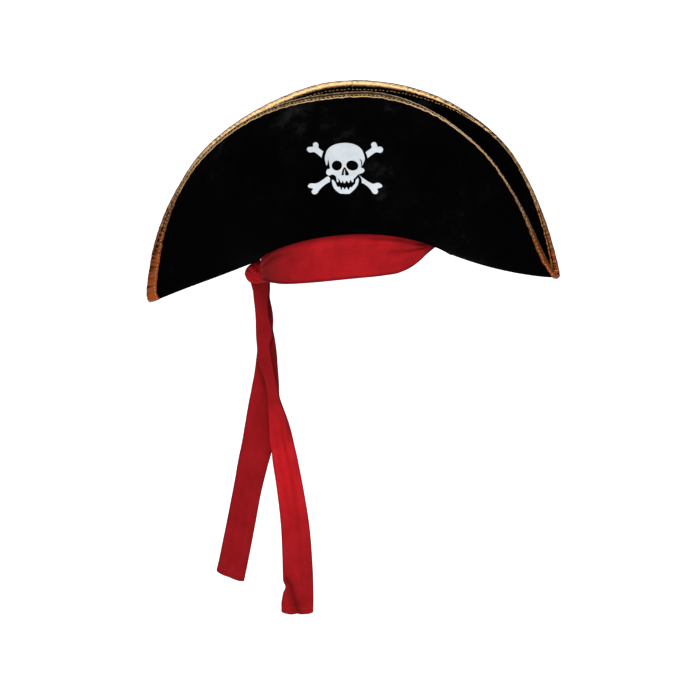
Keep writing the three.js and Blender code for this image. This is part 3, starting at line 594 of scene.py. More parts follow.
def make_brim():
    """The brim's wall: a closed section carried round, out along one face, over the edge, back
    along the other face and round the seam by a half circle."""
    turns = np.linspace(0, 360, BRIM_COLUMNS, endpoint=False)
    # The columns crowd together at the two tips, where the edge turns sharply.
    turns = turns - np.degrees(0.55 * np.sin(2 * np.radians(turns)) / 2)
    ups = np.linspace(0, 1, BRIM_ROWS)
    arc = np.linspace(0, np.pi, 7)[1:-1]
    half = BRIM_WALL / 2
    up = np.concatenate([ups, ups[::-1], np.zeros(len(arc))])
    outside = np.concatenate([wall_half(ups), -wall_half(ups)[::-1], -half * np.cos(arc)])
    drop = np.concatenate([np.zeros(2 * len(ups)), half * np.sin(arc)])
    section = brim_surface(turns[:, None], up[None, :], outside[None, :])
    section[..., 2] -= drop
    return put_mesh("brim_velour", section, grid_faces(len(turns), len(up), True, True))


def make_crown():
    """A cap whose plan is an ellipse and whose side is a superellipse, with the seam's puckers
    and shallow dents. Its two skins meet in a line just below them and close at the top. The
    hem flares by exp(-(r / r0)^2) as far as the brim's inner edge, where the two are sewn."""
    turns = np.linspace(0, 360, CROWN_COLUMNS, endpoint=False)[:, None]
    upright = np.sqrt(1 - brim_out(turns, 0)[..., 2] ** 2)
    flare = RING_CLEARANCE + BRIM_WALL / 2 * (1 - upright) + SEAM_PRESS
    rises = np.sin(np.linspace(0, np.pi / 2, CROWN_ROWS)[:-1])[None, :]

    def skin(outside, top):
        seam = seam_height(turns)
        height = seam + (top - seam) * rises
        sewn = outside + flare * np.exp(-((rises / SEAM_REACH) ** 2))
        point = ring(turns, sewn, height, crown_share(turns, height, top))
        risen = np.clip(rises * 2, 0, 1)
        dents = CROWN_DENT * ripple(point, 40, 110, seed=11) * risen
        puckers = CROWN_PUCKER * np.sin(np.radians(turns) * CROWN_PUCKERS)
        puckers = puckers * np.exp(-((rises / (2 * SEAM_REACH)) ** 2))
        mean_radius = (HEAD_HALF_WIDTH + HEAD_HALF_DEPTH) / 2 + 1.5
        return point * (1 + (dents - risen + puckers) / mean_radius)[..., None]

    outer = skin(CROWN_OUTSIDE, CROWN_TOP)
    inner = skin(CROWN_INSIDE, CROWN_TOP - CROWN_WALL)
    hem = (outer[:, :1] + inner[:, :1]) / 2 - np.array([0, 0, CROWN_WALL / 2 - 0.1])
    section = np.concatenate([outer[:, ::-1], hem, inner], axis=1)
    rows, columns = section.shape[:2]
    top = np.array([[0, 0, outer[:, -1, 2].mean() + 0.1], [0, 0, inner[:, -1, 2].mean() + 0.1]])
    faces = grid_faces(rows, columns, True, False)
    for i in range(rows):
        here = i * columns
        there = ((i + 1) % rows) * columns
        faces.append([rows * columns, there, here])
        faces.append([rows * columns + 1, here + columns - 1, there + columns - 1])
    points = np.concatenate([section.reshape(-1, 3), top])
    return put_mesh("crown_velour", points, faces)


def tape_turns(count):
    """Turns at even distances along the brim's edge."""
    turns = np.linspace(0, 360, 2880, endpoint=False)
    edge = brim_point(turns, np.ones_like(turns))
    run = np.linalg.norm(np.roll(edge, -1, axis=0) - edge, axis=1)
    total = np.concatenate([[0], np.cumsum(run)])
    goal = np.linspace(0, total[-1], count, endpoint=False)
    return np.interp(goal, total, np.append(turns, 360)), total[-1]


def tape_line(turns, share, perimeter):
    """The middle of the binding's cloth, for each turn from its outer free edge (share 0) round
    the brim's edge to its inner free edge (share 1), and the way its face points."""
    turns = turns[:, None]
    share = np.broadcast_to(share[None, :], (len(turns), share.size))
    at = np.arange(len(turns))[:, None] / len(turns)
    reach = np.linalg.norm(brim_point(turns, 0.9) - brim_point(turns, 1), axis=-1) / 0.1
    lap = around(EDGE, "lap", turns)
    wobble = 0.25 * crimp(at, 0 * at, 60, 150, seed=21, waves=6)
    outer_leg = lap * TAPE_WIDTH + wobble
    inner_leg = (1 - lap) * TAPE_WIDTH + 0.25 * crimp(at, 0 * at, 60, 150, seed=22, waves=6)
    bend = TAPE_BEND_SHARE
    on_outer = np.clip(1 - share / (0.5 - bend), 0, 1)
    on_inner = np.clip((share - 0.5 - bend) / (0.5 - bend), 0, 1)
    angle = np.clip((share - 0.5 + bend) / (2 * bend), 0, 1) * np.pi
    back = outer_leg * on_outer + inner_leg * on_inner
    leg = np.where(share < 0.5, outer_leg, inner_leg)
    up = 1 - back / reach
    from_tip = 1 - np.exp(-(((np.mod(turns + 90, 180) - 90) / 24) ** 2))
    fullness = TAPE_PUFF + TAPE_EXTRA_PUFF * np.where(share < 0.5, 1, from_tip)
    puff = fullness * np.clip(np.sin(np.pi * np.clip((leg - back) / np.maximum(leg, 1), 0, 1)), 0, 1)
    puff = puff + TAPE_PUFF * np.exp(-(((leg - back) - 0.6) / 0.6) ** 2)
    press = TAPE_PRESS * np.exp(-(((leg - back) - STITCH_INSET) / 0.5) ** 2)
    stitched = 0.5 + 0.5 * np.cos(2 * np.pi * at * round(perimeter / STITCH_PITCH))
    press = press * (0.7 + 0.3 * stitched)
    folds = 0.13 * crimp(at, share, 130, 330, seed=23) + 0.10 * crimp(at, share, 40, 110, seed=24)
    tip = np.exp(-(((np.mod(turns + 90, 180) - 90) / 16) ** 2))
    folds = folds * (1 + 1.3 * tip)
    started = step_between(TAPE_OVERLAP_START, TAPE_OVERLAP_START + 0.5, turns)
    ended = step_between(TAPE_OVERLAP_END, TAPE_OVERLAP_END + 0.2, turns)
    joint = TAPE_OVERLAP * started * (1 - ended)
    near = wall_half(up) + TAPE_HALF_WALL
    lift = near + np.maximum(TAPE_LIFT + puff - press + folds + joint, 0.05)
    out = brim_out(turns, up)
    edge = brim_point(turns, np.ones_like(share))
    beyond = unit(edge - brim_point(turns, np.full_like(share, 0.97)))
    turned = (angle > 0) & (angle < np.pi)
    swing = np.where(share < 0.5, 1.0, -1.0)[..., None]
    flat = brim_point(turns, up) + out * lift[..., None] * swing
    cos = np.cos(angle)[..., None]
    sin = np.sin(angle)[..., None]
    round_ = edge + out * cos * lift[..., None] + beyond * (sin * lift[..., None] * 0.62)
    middle = np.where(turned[..., None], round_, flat)
    face = np.where(turned[..., None], unit(out * cos + beyond * sin), out * swing)
    return middle, face


def make_tape():
    """The binding's cloth: its middle line thickened both ways into a closed section."""
    turns, perimeter = tape_turns(TAPE_ROWS)
    share = np.linspace(0, 1, TAPE_SECTION)
    middle, face = tape_line(turns, share, perimeter)
    half = TAPE_HALF_WALL
    section = np.concatenate([middle + face * half, (middle - face * half)[:, ::-1]], axis=1)
    run = np.arange(len(turns))[:, None] * perimeter / len(turns)
    width = np.broadcast_to(share[None, :] * 2 * TAPE_WIDTH, middle.shape[:2])
    uv = np.stack(np.broadcast_arrays(run, width), axis=-1)
    uv = np.concatenate([uv, uv[:, ::-1]], axis=1)
    faces = grid_faces(len(turns), 2 * len(share), True, True)
    return put_mesh("gold_binding", section, faces, uv)


def make_stitches(name, centres, run, out, length, radius):
    """One short round-ended thread for each stitch: a bar along the run, its ends sunk in."""
    rings = 7
    corners = 6
    ends = np.linspace(-1, 1, rings)
    sides = np.radians(np.arange(corners) * 360 / corners)
    thick = np.sqrt(np.clip(1 - ends**4, 0.02, 1))
    sunk = 0.9 * ends**2
    x = np.broadcast_to((ends * length / 2)[:, None], (rings, corners))
    y = radius * thick[:, None] * np.cos(sides)[None, :]
    z = radius * (thick[:, None] * np.sin(sides)[None, :] - sunk[:, None])
    side = unit(np.cross(out, run))
    local = np.stack([x, y, z], axis=-1).reshape(-1, 3)
    points = (
        centres[:, None]
        + run[:, None] * local[None, :, :1]
        + side[:, None] * local[None, :, 1:2]
        + out[:, None] * local[None, :, 2:]
    )
    size = rings * corners
    caps = [list(range(corners))[::-1], list(range(size - corners, size))]
    one = grid_faces(rings, corners, False, True) + caps
    faces = []
    for k in range(len(centres)):
        faces.extend([[c + k * size for c in f] for f in one])
    return put_mesh(name, points, faces)


def tape_stitches(name, inside):
    """The row of stitches along one free edge of the binding."""
    turns, perimeter = tape_turns(TAPE_ROWS)
    count = round(perimeter / STITCH_PITCH)
    share_at = np.linspace(0, 1, 161)
    middle, face = tape_line(turns, share_at, perimeter)
    if inside:
        middle = middle[:, ::-1]
        face = face[:, ::-1]
    gone = lengths_of(middle, 1)
    picked = np.argmin(np.abs(gone - STITCH_INSET), axis=1)
    rows = np.arange(len(turns))
    line = middle[rows, picked] + face[rows, picked] * TAPE_HALF_WALL
    out = face[rows, picked]
    run = unit(np.roll(line, -1, axis=0) - np.roll(line, 1, axis=0))
    at = np.round(np.arange(count) * len(turns) / count).astype(int) % len(turns)
    centres = line[at] + out[at] * STITCH_RADIUS / 2
    return make_stitches(name, centres, run[at], out[at], STITCH_LENGTH, STITCH_RADIUS)


def make_sash():
    """The sash: a band between a lower and an upper edge, with creases and a rolled lower fold.
    Each crease adds depth times exp(-(distance / half width)^2), faded in and out at its ends."""
    start = 180 + SASH_END_TURN
    turns = np.linspace(start, start + 360 - 2 * SASH_END_TURN, SASH_COLUMNS)[:, None]
    seam = seam_height(turns)
    low = seam - around(SASH, "drop", turns) * SASH_DROP
    high = seam + around(SASH, "tuck", turns) * SASH_TUCK
    share = np.linspace(0, 1, SASH_ROWS)[None, :]
    height = low + (high - low) * share
    level = (height - low) / np.maximum(seam - low, 10)
    push = np.zeros(height.shape)
    for start_turn, end_turn, at_start, at_end, half_width, depth in CREASES["rows"]:
        gone = np.clip((np.mod(turns, 360) - start_turn) / (end_turn - start_turn), 0, 1)
        line = at_start + (at_end - at_start) * gone**0.8
        spread = half_width * (0.6 + 0.7 * np.sin(np.pi * gone))
        fade = np.sin(np.pi * gone) ** 0.7
        push += depth * fade * np.exp(-(((level - line) / spread) ** 2))
    below = 1 - step_between(-1.5, 3.0, height - seam)
    fold = ring(turns, 0, height)
    push = push * below + 0.25 * ripple(fold, 14, 40, seed=31) * below
    end = np.minimum(np.abs(turns - turns[0]), np.abs(turns - turns[-1]))
    gathered = np.exp(-((end / 7) ** 2))
    push = push + gathered * 0.4 * np.sin(share * 26)
    roll = 0.5 * np.exp(-(((height - low) / 2.2) ** 2))
    shrink = crown_share(turns, height, CROWN_TOP - CROWN_WALL)
    middle = ring(turns, SASH_WALL / 2 + push + roll, height, shrink)
    squeeze = 1 - 0.12 * gathered
    centre = (low + np.minimum(seam - 1.5, high)) / 2
    middle[..., 2] = centre + (middle[..., 2] - centre) * squeeze
    half = 0.55 + 0.35 * np.exp(-(((height - low) / 1.6) ** 2))
    # Mixes in the darker red, mostly as painted shade and light: darker over the front left, lighter
    # just beside the knot and along the top, and painted shade under the brim at the right, in the
    # crease valleys and along the rolled lower fold.
    turned = np.mod(turns, 360)
    dull_and_shade = 0.36 + 0.32 * step_between(112, 146, turned) * (1 - step_between(150, 166, turned))
    dull_and_shade = dull_and_shade - 0.30 * step_between(156, 172, turned) - 0.15 * step_between(0.6, 1, level)
    dull_and_shade = dull_and_shade + 0.46 * (1 - step_between(24, 66, turned)) * level**2
    dull_and_shade = dull_and_shade + 0.30 * np.clip(-push / 2.4, 0, 1)
    dull_and_shade = np.clip(dull_and_shade + 0.4 * (1 - step_between(0.5, 2.0, height - low)), 0, 1)
    return cloth_mesh("sash_cloth", middle, half, dull_and_shade)


KNOT_MIDDLE = ring(180, KNOT_SETBACK, seam_height(180) - KNOT_DROP)


def make_knot():
    """The knot: a ball squared by |x|^n + |y|^n + |z|^n = 1, with pleats that run round it and
    meet at its two ends."""
    polar = np.linspace(0, np.pi, KNOT_ROWS)[1:-1][:, None]
    spin = np.linspace(0, 2 * np.pi, KNOT_COLUMNS, endpoint=False)[None, :]
    ahead = np.sin(polar) * np.cos(spin)
    high = np.sin(polar) * np.sin(spin)
    ball = np.stack(np.broadcast_arrays(-np.cos(polar), ahead, high), axis=-1)
    ball = ball / (np.abs(ball) ** KNOT_SQUARENESS).sum(-1, keepdims=True) ** (1 / KNOT_SQUARENESS)
    bend = spin + 0.7 * np.cos(polar) + 0.25 * np.sin(3 * polar)
    pleats = 0.040 * np.sin(5 * bend + 1.2 * np.sin(2 * polar))
    pleats = pleats + 0.035 * np.sin(11 * bend + 2.6 * polar)
    # One groove round the knot, where the cloth's last turn is tucked under.
    wrap = -0.09 * np.exp(-(((polar - 1.85 - 0.25 * np.cos(spin)) / 0.11) ** 2))
    ball = ball * (1 + (pleats - 0.05) * np.sin(polar) ** 0.6 + wrap)[..., None]
    ends = np.array([[-1, 0, 0], [1, 0, 0]])
    points = np.concatenate([ball.reshape(-1, 3), ends])
    above = np.clip(points[:, 2], 0, 1)
    below = np.clip(-points[:, 2], 0, 1)
    nearer = np.clip(-points[:, 1], 0, 1)
    points = points * np.array([KNOT_HALF_LENGTH, KNOT_HALF_DEPTH, KNOT_HALF_HEIGHT])
    # The top reaches up under the brim, and the left end is drawn in, more below than above.
    leftmost = np.clip(-points[:, 0] / KNOT_HALF_LENGTH, 0, 1)
    rightmost = np.clip(points[:, 0] / KNOT_HALF_LENGTH + 0.6, 0, 1)
    points[:, 2] += (1.9 + 1.4 * nearer + 3.8 * rightmost) * above**2
    points[:, 0] += leftmost * (3.6 * below**1.2 + 2.8 * above**1.5)
    points[:, 2] -= 0.9 * leftmost * below
    rows, columns = ball.shape[:2]
    faces = grid_faces(rows, columns, False, True)
    for j in range(columns):
        nxt = (j + 1) % columns
        faces.append([rows * columns, nxt, j])
        last = (rows - 1) * columns
        faces.append([rows * columns + 1, last + j, last + nxt])
    uv = np.stack(np.broadcast_arrays(polar * 12, spin * 9), axis=-1).reshape(-1, 2)
    uv = np.concatenate([uv, [[0, 0], [37, 0]]])
    dull_and_shade = np.full(len(points), 0.2)
    return put_mesh("knot_cloth", points + KNOT_MIDDLE, faces, uv, dull_and_shade)


def tail_section(table, down, share):
    """The bends of a tail's cloth across its width, one row for each place down. The cloth turns
    by half turns over arcs of one radius, so it keeps its width: tuck, arc, front, and then a
    pleat's two arcs with a lap between them, which takes up the width that is left over. Steps of
    cos and sin of the lean are summed, and the row is fitted to its left and right sides."""
    rows = {name: along(table, name, down)[:, None] for name in TAIL_COLUMNS[1:]}
    under = np.clip(rows["under"], 0.02, 1)
    pleat = np.clip(rows["pleat"], 0.02, 1)
    front = rows["edge"] - rows["left"] - FOLD_RADIUS * (under + pleat)
    arc = np.pi * FOLD_RADIUS
    fold_start = rows["tuck"] + arc * under + front
    spare = np.maximum(TAIL_WIDTH - fold_start - 2 * arc * pleat, 0)
    goal = rows["right"] - rows["edge"] + FOLD_RADIUS * pleat
    bend = np.pi * pleat
    lap = (spare + 2 * FOLD_RADIUS * np.sin(bend) - goal) / np.maximum(1 - np.cos(bend), 0.02)
    lap = np.clip(lap, 0, spare)
    width = share[None, :] * TAIL_WIDTH
    width = (width[:, 1:] + width[:, :-1]) / 2
    lean = np.pi * under * (1 - np.clip((width - rows["tuck"]) / (arc * under), 0, 1))
    turned = np.clip((width - fold_start) / (arc * pleat), 0, 1)
    turned_back = np.clip((width - fold_start - arc * pleat - lap) / (arc * pleat), 0, 1)
    lean = lean - bend * (turned - turned_back)
    lean = lean + rows["gather"] * np.cos(2 * np.pi * TAIL_WAVES * (width / TAIL_WIDTH + 0.04))
    step = TAIL_WIDTH / (share.size - 1)
    start = np.zeros((down.size, 1))
    x = np.concatenate([start, np.cumsum(np.cos(lean) * step, axis=1)], axis=1)
    y = np.concatenate([start, np.cumsum(np.sin(lean) * step, axis=1)], axis=1)
    low = x.min(axis=1, keepdims=True)
    high = x.max(axis=1, keepdims=True)
    x = ((x - low) / (high - low) - 0.5) * (rows["right"] - rows["left"])
    # Painted shade: the cloth tucked under at the left and turned back in the pleat is marked for a
    # darker red.
    hidden = under * (1 - step_between(-1, 1, share[None, :] * TAIL_WIDTH - rows["tuck"]))
    beyond = pleat * step_between(0, 2, share[None, :] * TAIL_WIDTH - fold_start - arc * pleat / 2)
    return x, y - y.max(axis=1, keepdims=True), np.maximum(hidden, beyond)


def tail_middle(table, drop, seed, slant, end_curl):
    """A tail's cloth, row by row down its middle line. Its end is cut on a slant, and with a curl
    a crease runs from a notch in its left side down to the hem."""
    down = np.linspace(0, 1, TAIL_ROWS)
    share = np.linspace(0, 1, TAIL_SECTION)
    top = KNOT_MIDDLE[2] - KNOT_HALF_HEIGHT + 2.0

    def line(at):
        aside = (along(table, "left", at) + along(table, "right", at)) / 2
        behind = along(table, "behind", at) * TAIL_GAP
        height = top - at * (drop + TAIL_END_GROWTH)
        return np.stack([KNOT_MIDDLE[0] + aside, behind, height], axis=-1)

    run = unit(line(np.minimum(1, down + 0.03)) - line(np.maximum(0, down - 0.03)))
    front = np.array([[0, -1, 0]]) * np.ones((down.size, 1))
    side = unit(np.cross(front, run))
    x, y, painted_fold_shade = tail_section(table, down, share)
    x = x * np.abs(run[:, 2:3])
    points = line(down)[:, None] + side[:, None] * x[..., None] + front[:, None] * y[..., None]
    soft = 0.22 * ripple(points, 12, 45, seed=40 + seed)
    points = points + front[:, None] * soft[..., None]
    low_end = step_between(0.94, 1, down)[:, None]
    rounded = 1.6 * np.sin(np.pi * share) ** 0.6 + 1.2 * np.sin(np.pi * share) ** 0.25
    points[..., 2] -= (rounded - 1.2 + slant * share)[None, :] * low_end
    # The crease runs from the notch, at 0.885 down, to just left of the middle of the hem.
    crease = 0.05 + 0.42 * (down[:, None] - 0.885) / 0.115
    beside = (share[None, :] - crease) * TAIL_WIDTH
    started = end_curl * step_between(0.87, 0.90, down)[:, None]
    dip = -2.4 * np.exp(-((beside / 2.2) ** 2)) + 1.6 * np.exp(-(((beside + 5) / 3) ** 2))
    points = points + front[:, None] * (started * dip)[..., None]
    notch = 2.6 * np.exp(-(((down[:, None] - 0.918) / 0.014) ** 2))
    notch = notch - 1.4 * step_between(0.94, 0.975, down)[:, None]
    points = points + side[:, None] * (end_curl * notch * np.clip(1 - share / 0.45, 0, 1))[..., None]
    # Painted shade along the crease, added to the painted shade of the tucks and pleats.
    shade = step_between(-2.0, 0.5, beside) * (1 - step_between(2, 8, beside))
    painted_fold_shade = np.maximum(painted_fold_shade, started * shade * 0.65)
    return points, painted_fold_shade


def make_tail(name, table, drop, seed, slant, end_curl, duller_side_and_shade):
    """A tail with a turned hem: the cloth is half as thick again over its last 7 mm and its sides.
    The last argument gives, at places down, how much of a darker red is mixed in: partly the cloth's
    duller side, partly painted shade."""
    middle, painted_fold_shade = tail_middle(table, drop, seed, slant, end_curl)
    to_end = lengths_of(middle[::-1], 0)[::-1]
    over = lengths_of(middle, 1)
    to_side = np.minimum(over, over[:, -1:] - over)
    end_hem = 1 - step_between(HEM_WIDTH - 0.4, HEM_WIDTH + 0.4, to_end)
    side_hem = 1 - step_between(SIDE_HEM_WIDTH - 0.3, SIDE_HEM_WIDTH + 0.3, to_side)
    hem = np.maximum(end_hem, side_hem)
    edge = np.minimum(to_end, to_side)
    soft = np.sqrt(np.clip(edge / 0.8, 0.35, 1))
    half = (CLOTH_HALF_WALL + HEM_HALF_WALL * hem) * soft
    places, shares = np.array(duller_side_and_shade, float).T
    dull_and_shade = np.interp(np.linspace(0, 1, len(middle)), places, shares)[:, None]
    # Painted shade in the tucks, pleats and crease, and a darker red within 1.3 mm of the cloth's
    # edges.
    dull_and_shade = dull_and_shade + (1 - dull_and_shade) * np.maximum(painted_fold_shade, 0.6 * (1 - step_between(0.3, 1.3, edge)))
    return cloth_mesh(name, middle, half, dull_and_shade), middle


def hem_stitches(name, middle):
    """A row of stitches across a tail, just above its end, on the front face."""
    front_column = TAIL_SECTION // 3 + 2
    to_end = lengths_of(middle[::-1, front_column : front_column + 1], 0)[::-1, 0]
    row = int(np.argmin(np.abs(to_end - HEM_STITCH_INSET)))
    line = middle[row]
    run = unit(np.gradient(line, axis=0))
    down = middle[row + 1] - middle[row - 1]
    out = unit(np.cross(run, down))
    out = out * np.where(out[:, 1:2] > 0, -1, 1)
    at = np.arange(3, len(line) - 3, 4)
    centres = line[at] + out[at] * (CLOTH_HALF_WALL + HEM_HALF_WALL + 0.06)
    return make_stitches(name, centres, run[at], out[at], HEM_STITCH_LENGTH, HEM_STITCH_RADIUS)


def flowing(rows, steps):
    """A smooth run of points through the rows of a table."""
    rows = np.array(rows, float)
    rows = np.concatenate([2 * rows[:1] - rows[1:2], rows, 2 * rows[-1:] - rows[-2:-1]])
    places = np.arange(len(rows)) - 1
    at = np.linspace(0, len(rows) - 3, steps)
    at = np.minimum(at, len(rows) - 3 - 1e-9)
    return np.stack([smooth(places, rows[:, 0], at), smooth(places, rows[:, 1], at)], axis=-1)


def oval(x, y, half_width, half_height, tilt):
    """An ellipse, tilted about its middle."""
    spin = np.linspace(0, 2 * np.pi, 60, endpoint=False)
    tilt = np.radians(tilt)
    u = half_width * np.cos(spin)
    v = half_height * np.sin(spin)
    across = x + u * np.cos(tilt) - v * np.sin(tilt)
    above = y + u * np.sin(tilt) + v * np.cos(tilt)
    return np.stack([across, above], axis=-1)


def closed_flow(rows, steps):
    """A smooth closed outline through the rows of a table."""
    rows = np.array(rows, float)
    ring_rows = np.concatenate([rows[-2:], rows, rows[:3]])
    places = np.arange(len(ring_rows)) - 2
    at = np.linspace(0, len(rows), steps, endpoint=False)
    return np.stack([smooth(places, ring_rows[:, 0], at), smooth(places, ring_rows[:, 1], at)], -1)


def lay_on_brim(across, above, lift):
    """Points on the brim's front at a place across and above, found by Newton's steps."""
    goal_x = PRINT_SIDE_SHIFT + across / 100 * PRINT_WIDTH
    goal_z = PRINT_HEIGHT_ON_BRIM + above / 100 * PRINT_WIDTH * PRINT_TALLNESS
    turn = 90 - goal_x * 0.4
    up = np.full_like(turn, 0.45)
    for _ in range(NEWTON_STEPS):
        here = brim_surface(turn, up, lift)
        aside = (brim_surface(turn + 0.5, up, lift) - here) * 2
        higher = (brim_surface(turn, up + 0.02, lift) - here) * 50
        miss_x = goal_x - here[..., 0]
        miss_z = goal_z - here[..., 2]
        spread = aside[..., 0] * higher[..., 2] - aside[..., 2] * higher[..., 0]
        turn = turn + (miss_x * higher[..., 2] - miss_z * higher[..., 0]) / spread
        up = up + (miss_z * aside[..., 0] - miss_x * aside[..., 2]) / spread
    return brim_surface(turn, up, lift)


def make_print(name, outline, holes=()):
    """A printed film: the filled outline is cut by a grid of even lines, given a wall, and laid
    on the brim, so that it follows the cloth."""
    curve = bpy.data.curves.new(name, "CURVE")
    curve.dimensions = "2D"
    curve.fill_mode = "BOTH"
    for rows in [outline, *holes]:
        spline = curve.splines.new("POLY")
        spline.points.add(len(rows) - 1)
        flat = np.concatenate([rows, np.zeros((len(rows), 1)), np.ones((len(rows), 1))], axis=1)
        spline.points.foreach_set("co", flat.ravel())
        spline.use_cyclic_u = True
    drawn = bpy.data.objects.new(name, curve)
    bpy.context.scene.collection.objects.link(drawn)
    bpy.context.view_layer.update()
    filled = drawn.evaluated_get(bpy.context.evaluated_depsgraph_get())
    flat_mesh = bpy.data.meshes.new_from_object(filled)
    bpy.data.objects.remove(drawn)
    film = bmesh.new()
    film.from_mesh(flat_mesh)
    bmesh.ops.remove_doubles(film, verts=film.verts, dist=1e-4)
    pitch = PRINT_GRID / PRINT_WIDTH * 100
    for k in range(-PRINT_GRID_LINES, PRINT_GRID_LINES + 1):
        for heading in ((1, 0, 0), (0, 1, 0)):
            place = tuple(pitch * k * h for h in heading)
            everything = film.verts[:] + film.edges[:] + film.faces[:]
            bmesh.ops.bisect_plane(film, geom=everything, dist=1e-5, plane_co=place, plane_no=heading)
    bmesh.ops.remove_doubles(film, verts=film.verts, dist=1e-4)
    for face in film.faces:
        if face.normal.z < 0:
            face.normal_flip()
    below = bmesh.ops.duplicate(film, geom=film.verts[:] + film.edges[:] + film.faces[:])
    floor = [g for g in below["geom"] if isinstance(g, bmesh.types.BMVert)]
    for vertex in floor:
        vertex.co.z = -1
    underside = [g for g in below["geom"] if isinstance(g, bmesh.types.BMFace)]
    bmesh.ops.reverse_faces(film, faces=underside)
    film.edges.index_update()
    partner = below["vert_map"]
    rims = [e for e in film.edges if e.is_boundary and e.verts[0].co.z > -0.5]
    for rim in rims:
        a, b = rim.verts
        film.faces.new([a, b, partner[b], partner[a]])
    bmesh.ops.recalc_face_normals(film, faces=film.faces)
    mesh = bpy.data.meshes.new(name)
    film.to_mesh(mesh)
    film.free()
    bpy.data.meshes.remove(flat_mesh)
    co = np.empty(len(mesh.vertices) * 3)
    mesh.vertices.foreach_get("co", co)
    co = co.reshape(-1, 3)
    base = BRIM_WALL / 2 + PRINT_LIFT
    lift = np.where(co[:, 2] > -0.5, base + PRINT_WALL, base - PRINT_SINK)
    places = lay_on_brim(co[:, 0], co[:, 1], lift) * MM
    mesh.vertices.foreach_set("co", places.ravel())
    mesh.polygons.foreach_set("use_smooth", np.zeros(len(mesh.polygons), bool))
    mesh.update()
    piece = bpy.data.objects.new(name, mesh)
    bpy.context.scene.collection.objects.link(piece)
    return piece


def linear(hex_colour):
    """An sRGB hex value as linear red, green, blue and alpha."""
    parts = np.array([int(hex_colour[k : k + 2], 16) for k in (1, 3, 5)]) / 255
    parts = np.where(parts <= 0.04045, parts / 12.92, ((parts + 0.055) / 1.055) ** 2.4)
    return (*parts.tolist(), 1.0)


def add(tree, kind, links=None, stops=(), **settings):
    """Adds a node. A setting is an input's name or number, or one of the node's own properties. A
    link is an input's name or number with the socket that feeds it. Stops are a colour ramp's
    places and hex colours."""
    made = tree.nodes.new(kind)
    for k, (place, colour) in enumerate(stops):
        stop = made.color_ramp.elements[k] if k < 2 else made.color_ramp.elements.new(place)
        stop.position = place
        stop.color = linear(colour)
    for name, value in settings.items():
        key = int(name[1:]) if name[1:].isdigit() else name.replace("_", " ")
        if hasattr(made, name):
            setattr(made, name, value)
        else:
            made.inputs[key].default_value = value
    for name, socket in (links or {}).items():
        tree.links.new(socket, made.inputs[name])
    return made


def new_material(name):
    """An empty node material."""
    material = bpy.data.materials.new(name)
    material.use_nodes = True
    material.node_tree.nodes.clear()
    return material, material.node_tree


def finish_material(tree, links, relief=(), **constants):
    """Ends a material. The relief is a row of heights, each with its strength and its distance in
    metres. The shader gets it, what varies over the surface, and what is the same all over."""
    normal = {}
    for height, strength, distance in relief:
        raised = {"Height": height, **normal}
        bump = add(tree, "ShaderNodeBump", raised, Strength=strength, Distance=distance)
        normal = {"Normal": bump.outputs["Normal"]}
    shader = add(tree, "ShaderNodeBsdfPrincipled", {**links, **normal}, **constants)
    add(tree, "ShaderNodeOutputMaterial", {"Surface": shader.outputs["BSDF"]})


def polyester_velour():
    """Black polyester velour, knitted with a cut pile about 1 mm deep that is brushed one way. It
    drinks nearly all light, with a faint grey bloom of disturbed pile, painted stronger higher up the
    brim as a sheen."""
    material, tree = new_material("black_polyester_velour")
    place = add(tree, "ShaderNodeTexCoord").outputs["Object"]
    # Strokes of the nap, 8 to 25 mm across, and the pile's own fibres, drawn at 0.8 mm.
    strokes = add(tree, "ShaderNodeTexNoise", {"Vector": place}, Scale=75, Detail=6, Roughness=0.66)
    areas = add(tree, "ShaderNodeTexNoise", {"Vector": place}, Scale=14, Detail=2, Roughness=0.5)
    brushed = add(tree, "ShaderNodeMapping", {"Vector": place}, Scale=(1.0, 1.0, 0.35)).outputs[0]
    fibres = add(tree, "ShaderNodeTexNoise", {"Vector": brushed}, Scale=1300, Detail=3, Roughness=0.7)
    both = {0: strokes.outputs["Fac"], 1: areas.outputs["Fac"]}
    patches = add(tree, "ShaderNodeMath", both, operation="MULTIPLY")
    grained = {0: fibres.outputs["Fac"], 2: patches.outputs[0]}
    bloom = add(tree, "ShaderNodeMath", grained, operation="MULTIPLY_ADD", _1=0.16)
    # The bloom grows with the height, from 30 to 120 mm: a painted sheen, lighter on the upper brim.
    height = add(tree, "ShaderNodeSeparateXYZ", {"Vector": place}).outputs["Z"]
    span = {"From_Min": 0.03, "From_Max": 0.12, "To_Min": -0.13, "To_Max": 0.03}
    painted_sheen_by_height = add(tree, "ShaderNodeMapRange", {"Value": height}, **span)
    bloom = add(tree, "ShaderNodeMath", {0: bloom.outputs[0], 1: painted_sheen_by_height.outputs[0]}, operation="ADD")
    greys = [(0.26, "#020202"), (0.38, "#050505"), (0.56, "#1c1c1d")]
    colour = add(tree, "ShaderNodeValToRGB", {"Fac": bloom.outputs[0]}, stops=greys)
    stroke = {"Value": strokes.outputs["Fac"]}
    rough = add(tree, "ShaderNodeMapRange", stroke, To_Min=0.85, To_Max=1.0)
    finish_material(
        tree,
        {"Base Color": colour.outputs["Color"], "Roughness": rough.outputs[0]},
        [(fibres.outputs["Fac"], 0.6, 0.0006), (strokes.outputs["Fac"], 0.3, 0.0012)],
        Specular_IOR_Level=0.01,
        Sheen_Weight=0.012,
        Sheen_Roughness=0.35,
        Sheen_Tint=linear("#b4b4bc"),
    )
    return material


def weave_of(tree, flat, threads, operation):
    """Two sets of threads, each with its heading, pitch in metres and unevenness, crossed by one
    operation. Blender's bands repeat every pi / 10 metres at a scale of 1."""
    crossed = {}
    for k, (heading, pitch, uneven) in enumerate(threads):
        look = {"bands_direction": heading, "Scale": np.pi / 10 / pitch, "Distortion": uneven}
        crossed[k] = add(tree, "ShaderNodeTexWave", {"Vector": flat}, Detail=2, **look).outputs["Fac"]
    return add(tree, "ShaderNodeMath", crossed, operation=operation).outputs[0]


